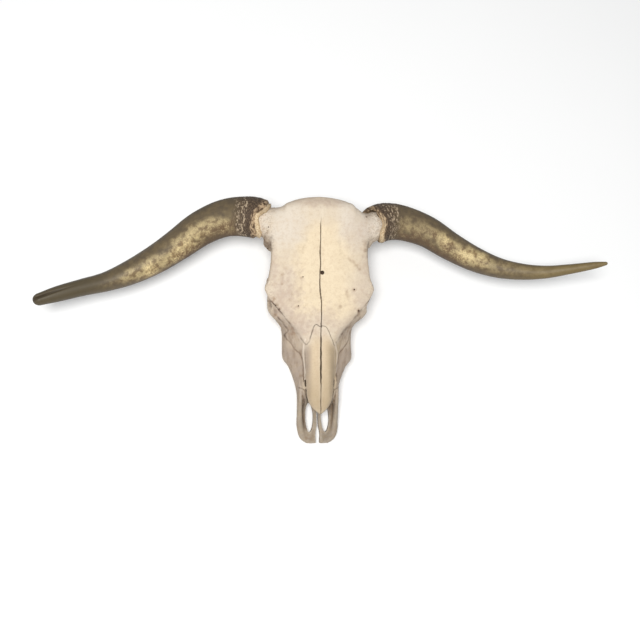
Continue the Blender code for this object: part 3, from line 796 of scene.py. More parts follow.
# %% Reading and moving points
def points_and_normals(obj):
    """Every point of the mesh, in millimetres of the face frame, and its normal."""
    count = len(obj.data.vertices)
    places, normals = np.empty(count * 3), np.empty(count * 3)
    obj.data.vertices.foreach_get("co", places)
    obj.data.vertices.foreach_get("normal", normals)
    return places.reshape(-1, 3) / MM, normals.reshape(-1, 3)


def move_points(obj, places):
    obj.data.vertices.foreach_set("co", (places * MM).ravel())
    obj.data.update()


def mark(obj, name, values):
    """Keeps a number, or a place, for each point of the mesh, for a material to read."""
    values = np.asarray(values, float)
    kind, field = ("FLOAT_VECTOR", "vector") if values.ndim == 2 else ("FLOAT", "value")
    obj.data.attributes.new(name, kind, "POINT").data.foreach_set(field, values.ravel())


def rubbed(obj, places, rounds):
    """The places after each point has moved to the middle of its neighbours, as often as asked."""
    edges = np.empty(len(obj.data.edges) * 2, np.int32)
    obj.data.edges.foreach_get("vertices", edges)
    a, b = edges.reshape(-1, 2).T
    count = np.maximum(np.bincount(a, minlength=len(places)) + np.bincount(b, minlength=len(places)), 1)
    for _ in range(rounds):
        total = [np.bincount(a, p[b], len(p)) + np.bincount(b, p[a], len(p)) for p in places.T]
        places = np.column_stack(total) / count[:, None]
    return places


def relief_of(obj, places, normals, rounds=10):
    """How far each point stands above its surroundings, in millimetres: less than 0 in hollows."""
    return ((places - rubbed(obj, places, rounds)) * normals).sum(axis=1)


def near_course(places, course, width):
    """1 on a course drawn over the face, seen from the front, and 0 further from it than about the width."""
    flat = places[:, :2]
    best = np.full(len(flat), np.inf)
    for start, end in zip(course[:-1, :2], course[1:, :2]):
        run = end - start
        close = np.flatnonzero((np.abs(flat - (start + end) / 2) < np.abs(run) / 2 + 3 * width).all(axis=1))
        part = np.clip(((flat[close] - start) @ run) / max(run @ run, 1e-9), 0, 1)
        gap = np.linalg.norm(flat[close] - start - part[:, None] * run, axis=1)
        best[close] = np.minimum(best[close], gap)
    return np.exp(-(best / width) ** 2)


# %% Rough fields
def rough_field(places):
    """How rough the bone is, from 0 to 1: at horn roots, temples, nape, tooth sockets and rims."""
    x, y, z = np.abs(places[:, 0]), places[:, 1], places[:, 2]
    roots = ramp(x, 92, 118) * ramp(y, 420, 440)
    temples = ramp(x, 92, 104) * ramp(y, 395, 410) * ramp(z, -18, -34) * ramp(y, 455, 435)
    nape = ramp(y, 478, 500) * ramp(z, -20, -40)
    sockets = ramp(z, -88, -104) * ramp(y, 130, 145) * ramp(y, 300, 280)
    brow_rim = ramp(x, 96, 112) * ramp(y, 285, 300) * ramp(y, 352, 340)
    tubers = np.exp(-((y - 182) / 12) ** 2 - ((z + 62) / 14) ** 2)
    snout = ramp(y, 26, 6) * 0.7
    fields = [roots, temples, nape, 0.8 * sockets, 0.6 * brow_rim, 0.8 * tubers, snout]
    return np.clip(np.max(fields, axis=0), 0, 1)


# %% Grooves, faint sutures and hollows of the face
DRAWN_SEAMS = [  # sutures grown nearly shut, drawn as shallow grooves: x and y over the face
    wandering([
        (-91, 268), (-79, 255), (-68, 240), (-73, 232), (-71, 223), (-62, 213), (-53, 199), (-42, 188),
        (-36, 165), (-35, 128),
    ], step=1.6, swing=1.2, seed=21),
    wandering([
        (90, 268), (80, 250), (70, 236), (66, 216), (54, 200), (44, 188), (38.5, 160), (37.5, 128),
    ], step=1.6, swing=1.2, seed=22),
]
BROW_GROOVES = [  # the soft channels that run through the supraorbital foramina
    smooth_path([(-33, 432), (-38, 412), (-52, 384), (-45, 358), (-44, 330), (-49, 295)], 8),
    smooth_path([(40, 430), (46, 408), (60, 380), (68, 350), (72, 328), (60, 300), (44, 290)], 8),
]
PALE_LINES = [  # thin raised edges, painted paler as a highlight
    smooth_path([(-33, 221), (-36, 205), (-36, 180), (-32.5, 150), (-32.5, 128)], 8),
    smooth_path([(32, 212), (38, 192), (38.5, 168), (37, 148)], 8),
]
BAR_SHADES = [  # painted shade on the inner flank of the side bars
    smooth_path([(-30, 118), (-31.5, 90), (-31.5, 60), (-29.5, 36), (-23, 20)], 8),
    smooth_path([(30, 118), (29, 90), (29, 70), (27, 44)], 8),
]
CREASE = smooth_path([(62, 394), (70, 388), (78, 381), (82, 374), (88, 371)], 8)  # a scar on the left temple
NASAL_SEAM = np.array([(0.0, 56.0), (0.0, 250.0)])


def worked(places, normals):
    """How far each point moves out along its normal, in millimetres."""
    x, y, z = places.T
    forward = np.clip(normals[:, 2], 0, 1)
    rough = rough_field(places)
    move = 0.9 * noise(places, 55, seed=31) + 0.35 * noise(places, 17, seed=32, octaves=2)  # broad swells
    move += (0.07 + 0.16 * rough) * noise(places, 3.2, seed=33, octaves=2)  # pitting
    move += 0.8 * rough * noise(places, 7.5, seed=34, octaves=2)  # knobs where muscle and horn took hold
    for course in BROW_GROOVES:
        move -= 0.9 * forward * near_course(places, course, 9)
    for course in DRAWN_SEAMS:
        move -= 0.6 * near_course(places, course, 1.5)
    for course in PALE_LINES:
        move += 0.5 * near_course(places, course, 1.6)
    move -= 0.3 * near_course(places, CREASE, 2.6)
    streaks = noise(places * (1, 0.22, 1), 5, seed=35, octaves=2)
    move += 0.45 * streaks * ramp(y, 300, 250) * ramp(z, -8, -24)  # the muzzle's long grain
    valley = np.exp(-(x / 14) ** 2) * ramp(y, 262, 290) * ramp(y, 500, 470)  # the forehead's sunken middle
    swells = np.exp(-((np.abs(x) - 52) / 26) ** 2 - ((y - 392) / 55) ** 2)  # the raised plates beside it
    crown_of_poll = np.exp(-(x / 40) ** 2) * ramp(y, 488, 503)
    move -= 1.4 * forward * valley
    move += 1.6 * forward * swells
    move += 1.0 * forward * crown_of_poll
    return move


print(len(DRAWN_SEAMS), "drawn sutures,", len(BROW_GROOVES), "grooves,", len(PALE_LINES), "raised edges")

# %% [markdown]
# ### Where the bone is stained, and where light and shade are painted
#
# An old skull is many colours: fat yellows the forehead, rain bleaches the horn roots, dust settles on the
# muzzle and dirt in every seam. Some masks paint light and shade as well: shade on the sloping muzzle and
# snout, on flanks turned sideways, on the side bars' inner flanks, down the walls of the holes and on a deep
# temple bump, and a highlight along thin raised edges. These could be painted by hand on an image. Here each
# is a mask, a number from 0 to 1 for every point, worked out from where the point lies, so it fits the shape
# and can be changed at once.

# %% Colour masks
BROWN_SPOTS = [  # brown marks, and at -116, 424 painted shade on the deep temple bump: x, y, half width, half height, strength
    (-44, 354, 6, 2.5, 0.4), (-82, 358, 3, 8, 0.4), (-85, 339, 3, 3, 0.4), (-62, 316, 3, 6, 0.45),
    (-50, 292, 3, 3, 0.5), (-67, 306, 4, 4, 0.35), (-101, 306, 4, 5, 0.6), (-97, 293, 4, 5, 0.7),
    (-91, 285, 4, 4, 0.9), (-96, 274, 4, 5, 0.7), (83, 283, 3, 6, 0.9), (86, 273, 3, 5, 0.6),
    (58, 313, 5, 9, 0.5), (73, 328, 6, 4, 0.5), (43, 291, 3.5, 3, 0.45), (-116, 424, 9, 14, 0.6),
    (-124, 463, 2.5, 5, 0.5), (-101, 496, 4, 3, 0.4), (95, 433, 4, 3, 0.35), (102, 488, 4, 2.5, 0.5),
    (98, 415, 5, 14, 0.45), (-60, 236, 6, 9, 0.45), (66, 246, 6, 9, 0.5),
]
DARK_SPOTS = [  # the rough bumps of the temples, with old dirt in their creases, and at -112, 424 painted shade where the bump lies deep
    (-112, 424, 9, 14, 0.7), (105, 417, 6, 13, 0.5), (-96, 288, 5, 12, 0.45), (86, 279, 4, 8, 0.5),
]
BROW_DIRT = [  # x, and how much dirt the seam in front of the frontal bones holds there
    (-100, 0.7), (-45, 0.6), (-31, 0.5), (-12, 0.4), (8, 0.1), (30, 0.2), (60, 0.4), (100, 0.6),
]
MAUVE_SPOTS = [  # paler violet-grey weathering: x, y, half width, half height, strength
    (-78, 305, 34, 70, 0.9), (-50, 250, 50, 40, 0.9), (86, 450, 34, 34, 0.5), (92, 310, 26, 40, 0.6),
    (-104, 372, 18, 40, 0.8), (0, 262, 50, 26, 0.7), (60, 250, 30, 30, 0.5), (104, 372, 16, 40, 0.6),
    (0, 517, 60, 12, 0.9),
]


def spots(places, listed, ragged, seed):
    """Soft-edged patches on the face, seen from the front, with edges as ragged as asked."""
    wander = ragged * noise(places, 7, seed, octaves=3)
    total = np.zeros(len(places))
    for at_x, at_y, wide, high, strength in listed:
        away = np.hypot((places[:, 0] - at_x) / wide, (places[:, 1] - at_y) / high)
        total = np.maximum(total, strength * ramp(away + wander, 1.7, 0.1))
    return total


def stains_and_shade(places, normals):
    """Old dirt in seams, crack, pits and scars, and painted shade in holes, on side bars and a temple."""
    x, y, z = places.T
    patchy = 1.05 + 1.3 * noise(places, 12, seed=42, octaves=2)
    along_brow = np.interp(x, *zip(*BROW_DIRT))
    dark_marks = [
        0.6 * patchy * near_course(places, DRAWN_SEAMS[0], 1.5),
        0.35 * patchy * near_course(places, DRAWN_SEAMS[1], 1.6),
        along_brow * patchy * near_course(places, BROW_COURSE, 1.5),
        0.4 * patchy * near_course(places, BROW_COURSE, 2.8) * ramp(x, -40, -52) * ramp(x, -104, -92),
        0.5 * patchy * near_course(places, BROW_COURSE, 3.2) * ramp(x, 34, 48) * ramp(x, 104, 92),
        0.6 * patchy * near_course(places, SNOUT_COURSE, 1.3) * ramp(z, -16, -22),
        0.55 * near_course(places, CRACK_COURSE[:, [1, 0]], 1.1) * ramp(y, 470, 400),
        # painted shade on the inner flanks of the side bars
        0.5 * patchy * near_course(places, BAR_SHADES[0], 3.4) * ramp(z, -20, -30),
        0.4 * patchy * near_course(places, BAR_SHADES[1], 3.4) * ramp(z, -20, -30),
        0.45 * near_course(places, NASAL_SEAM, 1.3),
    ]
    for hole_x, hole_y, radius in [*FORAMINA, HOLE]:
        away = np.hypot(x - hole_x, y - hole_y)
        dark_marks.append(0.6 * np.exp(-(away / (radius + 0.2)) ** 4))
        # painted shade down the inner walls of each hole, below its rim
        dark_marks.append(1.6 * (away < radius + 0.6) * ramp(z, -2, -5) * (y > 220))
    dark_marks.append(spots(places, DARK_SPOTS, 1.2, seed=46))
    return np.clip(np.max(dark_marks, axis=0), 0, 1) * ramp(normals[:, 2], -0.2, 0.3)


def bone_masks(places, normals, relief):
    """The masks that the bone material reads."""
    x, y, z = np.abs(places[:, 0]), places[:, 1], places[:, 2]
    drift = noise(places, 38, seed=41, octaves=3)
    centre = ramp(np.abs(places[:, 0] - 8) + 22 * drift, 88, 38) * ramp(y + 20 * drift, 235, 285)
    left_tip = ramp(places[:, 0] + 8 * drift, 2, 26) * ramp(y + 9 * drift, 236, 190)
    cheeks = ramp(y + 18 * drift, 300, 236) * ramp(z + 5 * drift, -3, -14) * (1 - 0.35 * ramp(y, 150, 190))
    streaks = noise(places * (1, 0.35, 1), 6, seed=44, octaves=3)
    brown = spots(places, BROWN_SPOTS, 1.3, seed=43)
    return {
        "yellowed": centre * ramp(y + 34 * drift, 492, 436),
        "bridge": ramp(x + 5 * drift, 31, 12) * ramp(y + 10 * drift, 240, 205),
        "nose_tip": ramp(z, -30, -20) * np.maximum(ramp(y + 14 * drift, 190, 60), left_tip),
        "ashen": ramp(y + 24 * drift, 408, 455) * ramp(x + 20 * drift, 20, 60),
        "mauve": spots(places, MAUVE_SPOTS, 0.9, seed=45),
        # the cheeks and the flanks of the nasals: dust, and painted shade where they slope from the light
        "muzzle": np.maximum(cheeks, ramp(y + 12 * drift, 218, 190) * ramp(x + 3 * drift, 13, 21)),
        # the snout: greyed where it lay on the ground, and darker still as painted shade
        "snout": ramp(y + 10 * drift, 118, 70) * ramp(z, -18, -34),
        # painted shade where the surface turns sideways from the light, with some dust on the flanks
        "edgeways_dust_and_shade": ramp(normals[:, 2] + 0.12 * drift, 0.86, 0.3),
        "streaks": ramp(streaks, -0.1, 0.45) * ramp(y, 290, 240) * ramp(z, -9, -22),
        # painted highlight along thin raised edges
        "pale": np.max([near_course(places, course, 1.5) for course in PALE_LINES], axis=0),
        "smudge": np.maximum(brown, 0.4 * near_course(places, CREASE, 4.5)),
        "stain_and_shade": stains_and_shade(places, normals),
        "relief": np.clip(0.5 + relief / 1.6, 0, 1),
        "rough": rough_field(places),
    }


def smooth_horn_roots(bone):
    """Rubs away the crease where each horn neck was pressed on to the head."""
    places, _ = points_and_normals(bone)
    x, y, z = np.abs(places[:, 0]), places[:, 1], places[:, 2]
    root = ramp(x, 70, 84) * ramp(x, 124, 108) * ramp(y, 425, 445) * ramp(z, -60, -40)
    move_points(bone, places + (rubbed(bone, places, 120) - places) * root[:, None])


def work_surface(bone):
    places, normals = points_and_normals(bone)
    places = places + normals * worked(places, normals)[:, None]
    places[:, 2] = np.maximum(places[:, 2], chewing_level(places[:, 1]) + FLOOR_GAP)
    move_points(bone, places)
    places, normals = points_and_normals(bone)
    for name, values in bone_masks(places, normals, relief_of(bone, places, normals)).items():
        mark(bone, name, values)
    mark(bone, "grain", places)


for bone in bones.values():
    smooth_horn_roots(bone)
    work_surface(bone)
print("worked the surface of", len(bones), "bones")

# %% [markdown]
# ## Cheek teeth
#
# Cattle grind with six tall teeth on each side, three with one lobe and three with two. Each lobe is a
# ribbed column, so here it is lofted through rings with a wavy outline. The crowns wear down to crescents of
# hard enamel that stand proud of softer dentine. They could be cut with small cutters, but sinking the points
# of the chewing surface between the crescents gives the same basins with softer edges.

# %% Ribbed crowns
TOOTH_GRID = 0.8      # grid that the lobes of a row are pressed together on
CROWN_TOP = 30.0      # how far each crown runs up into its socket above the chewing surface
CROWN_SWELL = 0.8     # the remesh and the ribs make a lobe this much wider
LOBE_OVERLAP = 0.57   # half the length of a lobe as a share of its span, so that neighbours melt together


def lobes():
    """Every lobe of a row: its name, its middle across and along, its half width and the length it spans."""
    for name, (start, end, half_width, x, count) in TEETH.items():
        span = (end - start) / count
        for lobe in range(count):
            yield f"{name}_{lobe}", x, start + span * (lobe + 0.5), half_width - CROWN_SWELL, span


def crown(name, x, y, half_width, half_length, side):
    """One lobe: a column with ribs on the cheek side, a little narrower at the chewing surface."""
    low = chewing_level(y)
    rings = []
    for height, size in [(0, 0.93), (6, 1.0), (16, 1.02), (CROWN_TOP, 0.92)]:
        ring = []
        for angle in np.linspace(0, 2 * math.pi, 48, endpoint=False):
            c, s = math.cos(angle), math.sin(angle)
            ribs = 1 + 0.07 * math.cos(3 * angle) * ramp(c, -0.2, 0.6) + 0.05 * math.cos(2 * angle)
            reach = size * ribs / (abs(c) ** 3 + abs(s) ** 3) ** (1 / 3)
            at_y = y + half_length * reach * s + 0.04 * height
            tilt = (at_y - y) * -math.tan(FLOOR_SLOPE) if height == 0 else 0
            ring.append((side * (x - 0.04 * height + half_width * reach * c), at_y, low + height + tilt))
        rings.append(ring)
    return loft(name, rings)


def tooth_row(side):
    crowns = [crown(name, x, y, wide, span * LOBE_OVERLAP, side) for name, x, y, wide, span in lobes()]
    return fused(f"teeth_{SIDES[side]}", crowns, TOOTH_GRID, rounds=2)


teeth = {side: tooth_row(side) for side in SIDES}
print("lobes on each side:", len(list(lobes())))

# %% Chewing surfaces
WEAR = 1.3  # how far the dentine is worn down below the enamel


def wear_crowns(row, side):
    """Sinks the dentine between the enamel crescents, and marks the enamel and the stained roots."""
    places, normals = points_and_normals(row)
    x, y, z = places[:, 0] * side, places[:, 1], places[:, 2]
    above = z - chewing_level(y)
    enamel = np.zeros(len(x))
    for _, at_x, at_y, half_width, span in lobes():
        half_length = span * 0.5
        away = np.hypot((x - at_x) / half_width, (y - at_y) / half_length)
        rim = np.exp(-((away - 0.86) / 0.09) ** 2)
        inner = np.hypot((x - at_x) / (0.46 * half_width), (y - at_y) / (0.5 * half_length))
        crescent = np.exp(-((inner - 1) / 0.28) ** 2)
        enamel = np.maximum(enamel, np.maximum(rim, crescent) * (away < 1.3))
    chewing = ramp(above, 1.6, 0.4) * ramp(normals[:, 2], -0.5, -0.85)
    places[:, 2] += chewing * (1 - enamel) * WEAR
    places += normals * (0.12 * noise(places * (1, 1, 0.25), 2.2, seed=51))[:, None]
    move_points(row, places)
    mark(row, "grain", places)
    mark(row, "dentine", chewing * (1 - enamel))
    mark(row, "rooted", ramp(above + 2.5 * noise(places, 6, seed=52), 8, 20))


for side, row in teeth.items():
    wear_crowns(row, side)
    print(row.name, len(row.data.polygons), "faces")

# %% [markdown]
# ## Horn sheaths
#
# A sheath is keratin, laid down in cones one inside the other. It could be one curve with a bevel, but the
# marks of growth need points of their own: rings crowd together at the root, fibres run to the tip, and the
# oldest layers flake where the horn meets the skull. So each sheath is lofted ring by ring, and every point
# remembers how far out it lies and where on the round. The right horn has lost its tip and split.

# %% The edge and the rings of a sheath
AROUND = 192         # points in each ring
ROOT_STEP = 0.9      # between two rings, as far out as ROOT_REACH
ROOT_REACH = 72.0
BODY_STEP = 2.2      # between two rings beyond it
SOCKET_DEPTH = 30.0  # how far the sheath is hollow
INSIDE = -100.0      # distances in the socket are counted on from here
EDGES = {  # how far out each ragged edge lies, every 30 degrees round from the side toward the nose
    -1: (-1, -6, -1, 6, -6, -6, 0, 2, 2, 3, 6, 6),
    1: (3, -4, -4, 7, 5, 12, 7, 0, 0, 4, 8, 12),
}
CUFFS = {-1: (9, 5), 1: (4, 2.5)}  # the thin inner layer at the edge: how long it is, and its step down


def edge_of(side, angles):
    """How far along the horn its edge lies, at each angle round it."""
    rows = closed_curve([(reach, reach) for reach in EDGES[side]], 10)[:, 0]
    smooth = np.interp(angles, np.linspace(0, 2 * math.pi, len(rows) + 1), [*rows, rows[0]])
    around = np.column_stack([40 * np.cos(angles), 40 * np.sin(angles), 0 * angles + 9 * side])
    return smooth + 1.3 * noise(around, 7, seed=58, octaves=2)


def horn_line(side):
    """Places, half widths and distances from the rim, in fine steps, with a dome at the tip."""
    dense = smooth_path(HORNS[side]["knots"], 24)
    along = lengths_along(dense[:, :3])
    even = np.concatenate([np.arange(0, ROOT_REACH, ROOT_STEP), np.arange(ROOT_REACH, along[-1], BODY_STEP)])
    line = np.column_stack([np.interp(even, along, column) for column in dense.T])
    centres, radii = line[:, :3], line[:, 3]
    forward = (centres[-1] - centres[-2]) / np.linalg.norm(centres[-1] - centres[-2])
    turns = np.radians(np.arange(6, 90, 6))[:, None]
    dome = centres[-1] + forward * radii[-1] * 1.15 * np.sin(turns)
    far = even[-1] + radii[-1] * np.sin(turns[:, 0])
    return np.vstack([centres, dome]), np.append(radii, radii[-1] * np.cos(turns)), np.append(even, far)


def horn_rings(side):
    """Rings from the socket, round the edge, to the tip: places, headings, half widths and distances."""
    centres, radii, even = horn_line(side)
    neck, step = HORNS[side]["neck"], CUFFS[side][1]
    deep = np.arange(SOCKET_DEPTH, -1, -3)
    wall = np.column_stack([np.interp(deep, even, column) for column in centres.T])
    face = [neck + 1.8, (neck + 2 + radii[0] - step) / 2]
    places = np.vstack([wall, centres[:1].repeat(2, axis=0), centres])
    sizes = np.concatenate([neck + 1.2 - deep / 10, face, radii])
    distances = np.concatenate([INSIDE - deep, [-2, -1], even])
    outer = np.gradient(centres, axis=0)
    inner = outer[np.minimum((deep / ROOT_STEP).astype(int), 30)]
    return places, np.vstack([inner, outer[:1].repeat(2, axis=0), outer]), sizes, distances


def horn_points(side):
    """Every point of a sheath, ring by ring, with the directions and distances that the relief needs."""
    centres, heading, radii, along = horn_rings(side)
    heading /= np.linalg.norm(heading, axis=1)[:, None]
    sideways = np.cross(heading, (0, 0, 1))
    sideways /= np.linalg.norm(sideways, axis=1)[:, None]
    upward = np.cross(sideways, heading)
    angles = np.linspace(0, 2 * math.pi, AROUND, endpoint=False)
    c, s = np.cos(angles)[None, :, None], np.sin(angles)[None, :, None]
    out = sideways[:, None] * c + upward[:, None] * s * 0.95
    reach = np.where(along < INSIDE / 2, INSIDE - along, np.maximum(along, 0))
    shift = edge_of(side, angles)[None, :] * ramp(reach, 42, 0)[:, None]
    places = centres[:, None] + out * radii[:, None, None] + heading[:, None] * shift[:, :, None]
    grid = np.repeat(along, AROUND), np.tile(angles, len(along)), np.repeat(radii, AROUND)
    return places.reshape(-1, 3), out.reshape(-1, 3), *grid


for side in SIDES:
    print("edge of the", SIDES[side], "horn:", edge_of(side, np.arange(4) * math.pi / 2).round(1))

# %% Growth rings, fibres and flakes
FLECK_RINGS = {-1: (40, 46, 57), 1: (21, 31, 41, 53)}  # how far out the rings of pale flecks lie


def away_from(angles, middle):
    """How far each angle is turned from the middle, given in degrees: radians, from -pi to pi."""
    return np.angle(np.exp(1j * (angles - np.radians(middle))))


def horn_relief(side, straight, along, length):
    """How far each point moves out, in millimetres, the height of its flakes, and its ragged distance."""
    seed = 60 + 10 * side
    cuff, step = CUFFS[side]
    root = np.exp(-np.clip(along, 0, None) / 55)
    ragged = along + 1.8 * noise(straight * (0.3, 1, 1), 13, seed + 5, octaves=2)
    wobble = along + 2.5 * noise(straight, 24, seed)
    rings = noise(np.column_stack([wobble, 0 * wobble, 0 * wobble]), 3.6, seed + 1, octaves=2)
    fibres = noise(straight * (0.045, 1, 1), 2.4, seed + 2, octaves=2)
    flakes = noise(straight * (1, 0.5, 0.5), 2.3, seed + 3, octaves=2)
    scaly = ramp(along, 75, 25) * ramp(ragged, cuff - 3, cuff + 3)
    move = 1.1 * noise(straight * (0.4, 1, 1), 34, seed + 4) * ramp(along, 20, 90)
    move += 0.8 * root * rings + (0.1 + 0.15 * root) * fibres + 0.8 * flakes * scaly
    move -= step * ramp(ragged, cuff + 2.5, cuff - 2)
    move *= 1 - 0.7 * ramp(along, length * 0.5, length)
    return np.where(along > -0.5, move, np.where(along > -3, -0.6 * step, 0)), flakes, ragged


def split_tip(side, angles, radii, along, length):
    """The open split at the end of the animal's right horn: how far its points sink in."""
    if side > 0:
        return 0 * along
    swing = away_from(angles, 113) * radii
    opened = ramp(along, length - 135, length - 6)
    notch = 5 * ramp(along, length - 12, length - 1)
    sunk = ((0.9 + 4.5 * opened**2) * opened + notch) * np.exp(-(swing / (1.3 + 1.5 * opened)) ** 2)
    return np.minimum(sunk, 0.5 * radii)


# %% [markdown]
# ### Where the horn is pale, dark or golden
#
# From the skull outwards this horn shows a clean cream cuff, flaking scales, a dark band and rings of pale
# flecks, then olive brown with a golden streak on the side turned to the light, partly the amber of thin
# keratin and partly a painted highlight. Every band is a mask along the horn, with an edge made ragged by
# noise, and the streak has a list of its own for each horn.

# %% Colour zones of a horn
ZONES = {  # how far out the cream cuff, the flaky band, the dark band and the flecks end
    -1: (8, 18, 36, 62), 1: (6, 10, 20, 58),
}
GOLDEN = {  # along, strength, angle of the middle of the golden streak, its half width in degrees
    -1: [(62, 0, 60, 26), (88, 0.55, 62, 30), (145, 0.65, 76, 32), (200, 0.95, 70, 38), (240, 1.1, 64, 44),
         (300, 1.1, 60, 44), (335, 0.7, 64, 38), (375, 0.2, 70, 30), (420, 0, 76, 26)],
    1: [(50, 0, 76, 24), (68, 0.6, 72, 26), (110, 0.6, 76, 30), (150, 0.6, 80, 32), (190, 0.95, 80, 38),
        (235, 1.15, 80, 44), (275, 0.9, 84, 44), (310, 0.4, 90, 40), (360, 0.15, 90, 40), (540, 0.1, 90, 40)],
}


def horn_zones(side, straight, along, angles, ragged, length):
    """The masks that the horn material reads, each from 0 to 1."""
    cuff, flaky, dark, flecked = ZONES[side]
    at, *shape = zip(*GOLDEN[side])
    strength, middle, width = (np.interp(along, at, values) for values in shape)
    swing = np.degrees(away_from(angles, middle))
    clouds = noise(straight * (0.6, 1, 1), 17, 80 + side, octaves=3)
    patches = noise(straight * (0.8, 1, 1), 34, 90 + side, octaves=2)
    flecks = noise(straight * (1, 0.45, 0.45), 1.9, 86 + side, octaves=2)
    rings = np.max([np.exp(-((ragged - ring) / 3.2) ** 2) for ring in FLECK_RINGS[side]], axis=0)
    visible = ramp(np.sin(angles + 0.25), -0.25, 0.5)
    clean = ramp(np.sin(angles - 0.5), 1.4, 0.8)
    if side > 0:
        clean = ramp(np.cos(angles) + 0.2 * clouds, -0.65, 0.15) * ramp(np.sin(angles - 0.5), 1.4, 0.2)
    return {
        "cuff": ramp(ragged, cuff + 0.5, cuff - 2) * clean,
        "flaky": ramp(ragged, flaky + 2, flaky - 3),
        "dark": ramp(ragged, flecked + 16, dark + 4),
        "flecked": ramp(flecks, 0.28 - 0.3 * rings, 0.5 - 0.2 * rings) * visible
                   * ramp(ragged, dark - 3, dark + 3) * ramp(ragged, flecked + 8, flecked - 5),
        "golden": strength * ramp(np.abs(swing) - 26 * clouds, width * 1.35, width * 0.2)
                  * (0.6 + 0.4 * ramp(patches, -0.22, 0.2)),
        "rusty": ramp(along, 45, 75) * ramp(along, 330, 200) * ramp(clouds + 0.9 * np.cos(angles), 0.1, 0.9),
        "tipward": ramp(along + 60 * clouds, length * 0.55, length * 0.85),
        "shaded": ramp(np.abs(away_from(angles, 78)), 0.8, 1.7) * ramp(along, -20, 10),
    }


# %% Both sheaths
def sheath(side):
    places, out, along, angles, radii = horn_points(side)
    length = along.max()
    straight = np.column_stack([np.maximum(along, 0), radii * np.cos(angles), radii * np.sin(angles)])
    move, flakes, ragged = horn_relief(side, straight, along, length)
    sunk = split_tip(side, angles, radii, along, length)
    places = (places + out * (move - sunk)[:, None]) * (side, 1, 1)
    obj = loft(f"horn_{SIDES[side]}_sheath", places.reshape(-1, AROUND, 3))
    masks = horn_zones(side, straight, along, angles, ragged, length) | {"split": sunk / 2}
    for name, values in masks.items():
        mark(obj, name, np.clip(values, 0, 1))
    mark(obj, "along", along)
    mark(obj, "straight", straight)
    mark(obj, "flake", 0.5 + 0.5 * flakes)
    return obj


sheaths = {side: sheath(side) for side in SIDES}
for obj in sheaths.values():
    print(obj.name, len(obj.data.polygons), "faces")

# %% [markdown]
# ## Materials
#
# Colours are written as the hex values a paint chart would give, and turned to the linear values that the
# shader wants. One small function adds a node with its settings and links. Weather lays its colours one
# over the other, so a material here is a base colour and a list of layers, the lowest first. A layer shows
# as far as its masks and noises, multiplied together, let it.

# %% Colour, nodes and layers
def linear(hex_colour):
    """An sRGB hex colour as linear red, green, blue and alpha."""
    parts = [int(hex_colour[i:i + 2], 16) / 255 for i in (1, 3, 5)]
    return (*[p / 12.92 if p <= 0.04045 else ((p + 0.055) / 1.055) ** 2.4 for p in parts], 1)


def wire(tree, node, **inputs):
    """Sets a node's inputs: to a number, a hex colour or another node's output. i0 is the first input."""
    for name, value in inputs.items():
        key = int(name[1:]) if name[0] == "i" and name[1:].isdigit() else name.replace("_", " ")
        if isinstance(value, bpy.types.NodeSocket):
            tree.links.new(value, node.inputs[key])
        else:
            node.inputs[key].default_value = linear(value) if isinstance(value, str) else value
    return node


def add(tree, kind, settings=None, **inputs):
    """Adds a node, with its own settings and its inputs."""
    node = tree.nodes.new("ShaderNode" + kind)
    for name, value in (settings or {}).items():
        setattr(node, name, value)
    return wire(tree, node, **inputs)


def new_material(name, place_name, grains):
    """A material, its tree, its shader, the place that the mesh keeps for each point, and its noises.

    Each grain is the size of a noise's patches in millimetres, its detail, and how it is drawn out.
    """
    material = bpy.data.materials.new(name)
    material.use_nodes = True
    tree = material.node_tree
    place = add(tree, "Attribute", {"attribute_name": place_name}).outputs["Vector"]
    noises = {}
    for grain, (size, detail, drawn) in grains.items():
        drawn_place = add(tree, "VectorMath", {"operation": "MULTIPLY"}, i0=place, i1=drawn).outputs[0]
        texture = add(tree, "TexNoise", Vector=drawn_place, Scale=1 / size, Detail=detail, Roughness=0.55)
        noises[grain] = texture.outputs["Fac"]
    return material, tree, tree.nodes["Principled BSDF"], place, noises


def layered(tree, noises, base, layers):
    """Lays colours over the base, the first one lowest.

    A layer is its colour, and (name, low, high, start, end) for each of its noises and masks: as the value
    goes from low to high, the layer shows from start to end. A name alone stands for all of its mask.
    """
    colour = base
    for top, *levels in layers:
        share = 1.0
        for name, *span in levels:
            low, high, start, end = span or (0, 1, 0, 1)
            value = noises.get(name) or add(tree, "Attribute", {"attribute_name": name}).outputs["Fac"]
            level = add(tree, "MapRange", i0=value, i1=low, i2=high, i3=start, i4=end).outputs[0]
            share = add(tree, "Math", {"operation": "MULTIPLY"}, i0=share, i1=level).outputs[0]
        colour = add(tree, "Mix", {"data_type": "RGBA"}, i0=share, i6=colour, i7=top).outputs[2]
    return colour


EVEN = (1, 1, 1)  # a noise that isn't drawn out
print("the linear values of a cream:", [round(part, 3) for part in linear("#D8C9B2")])
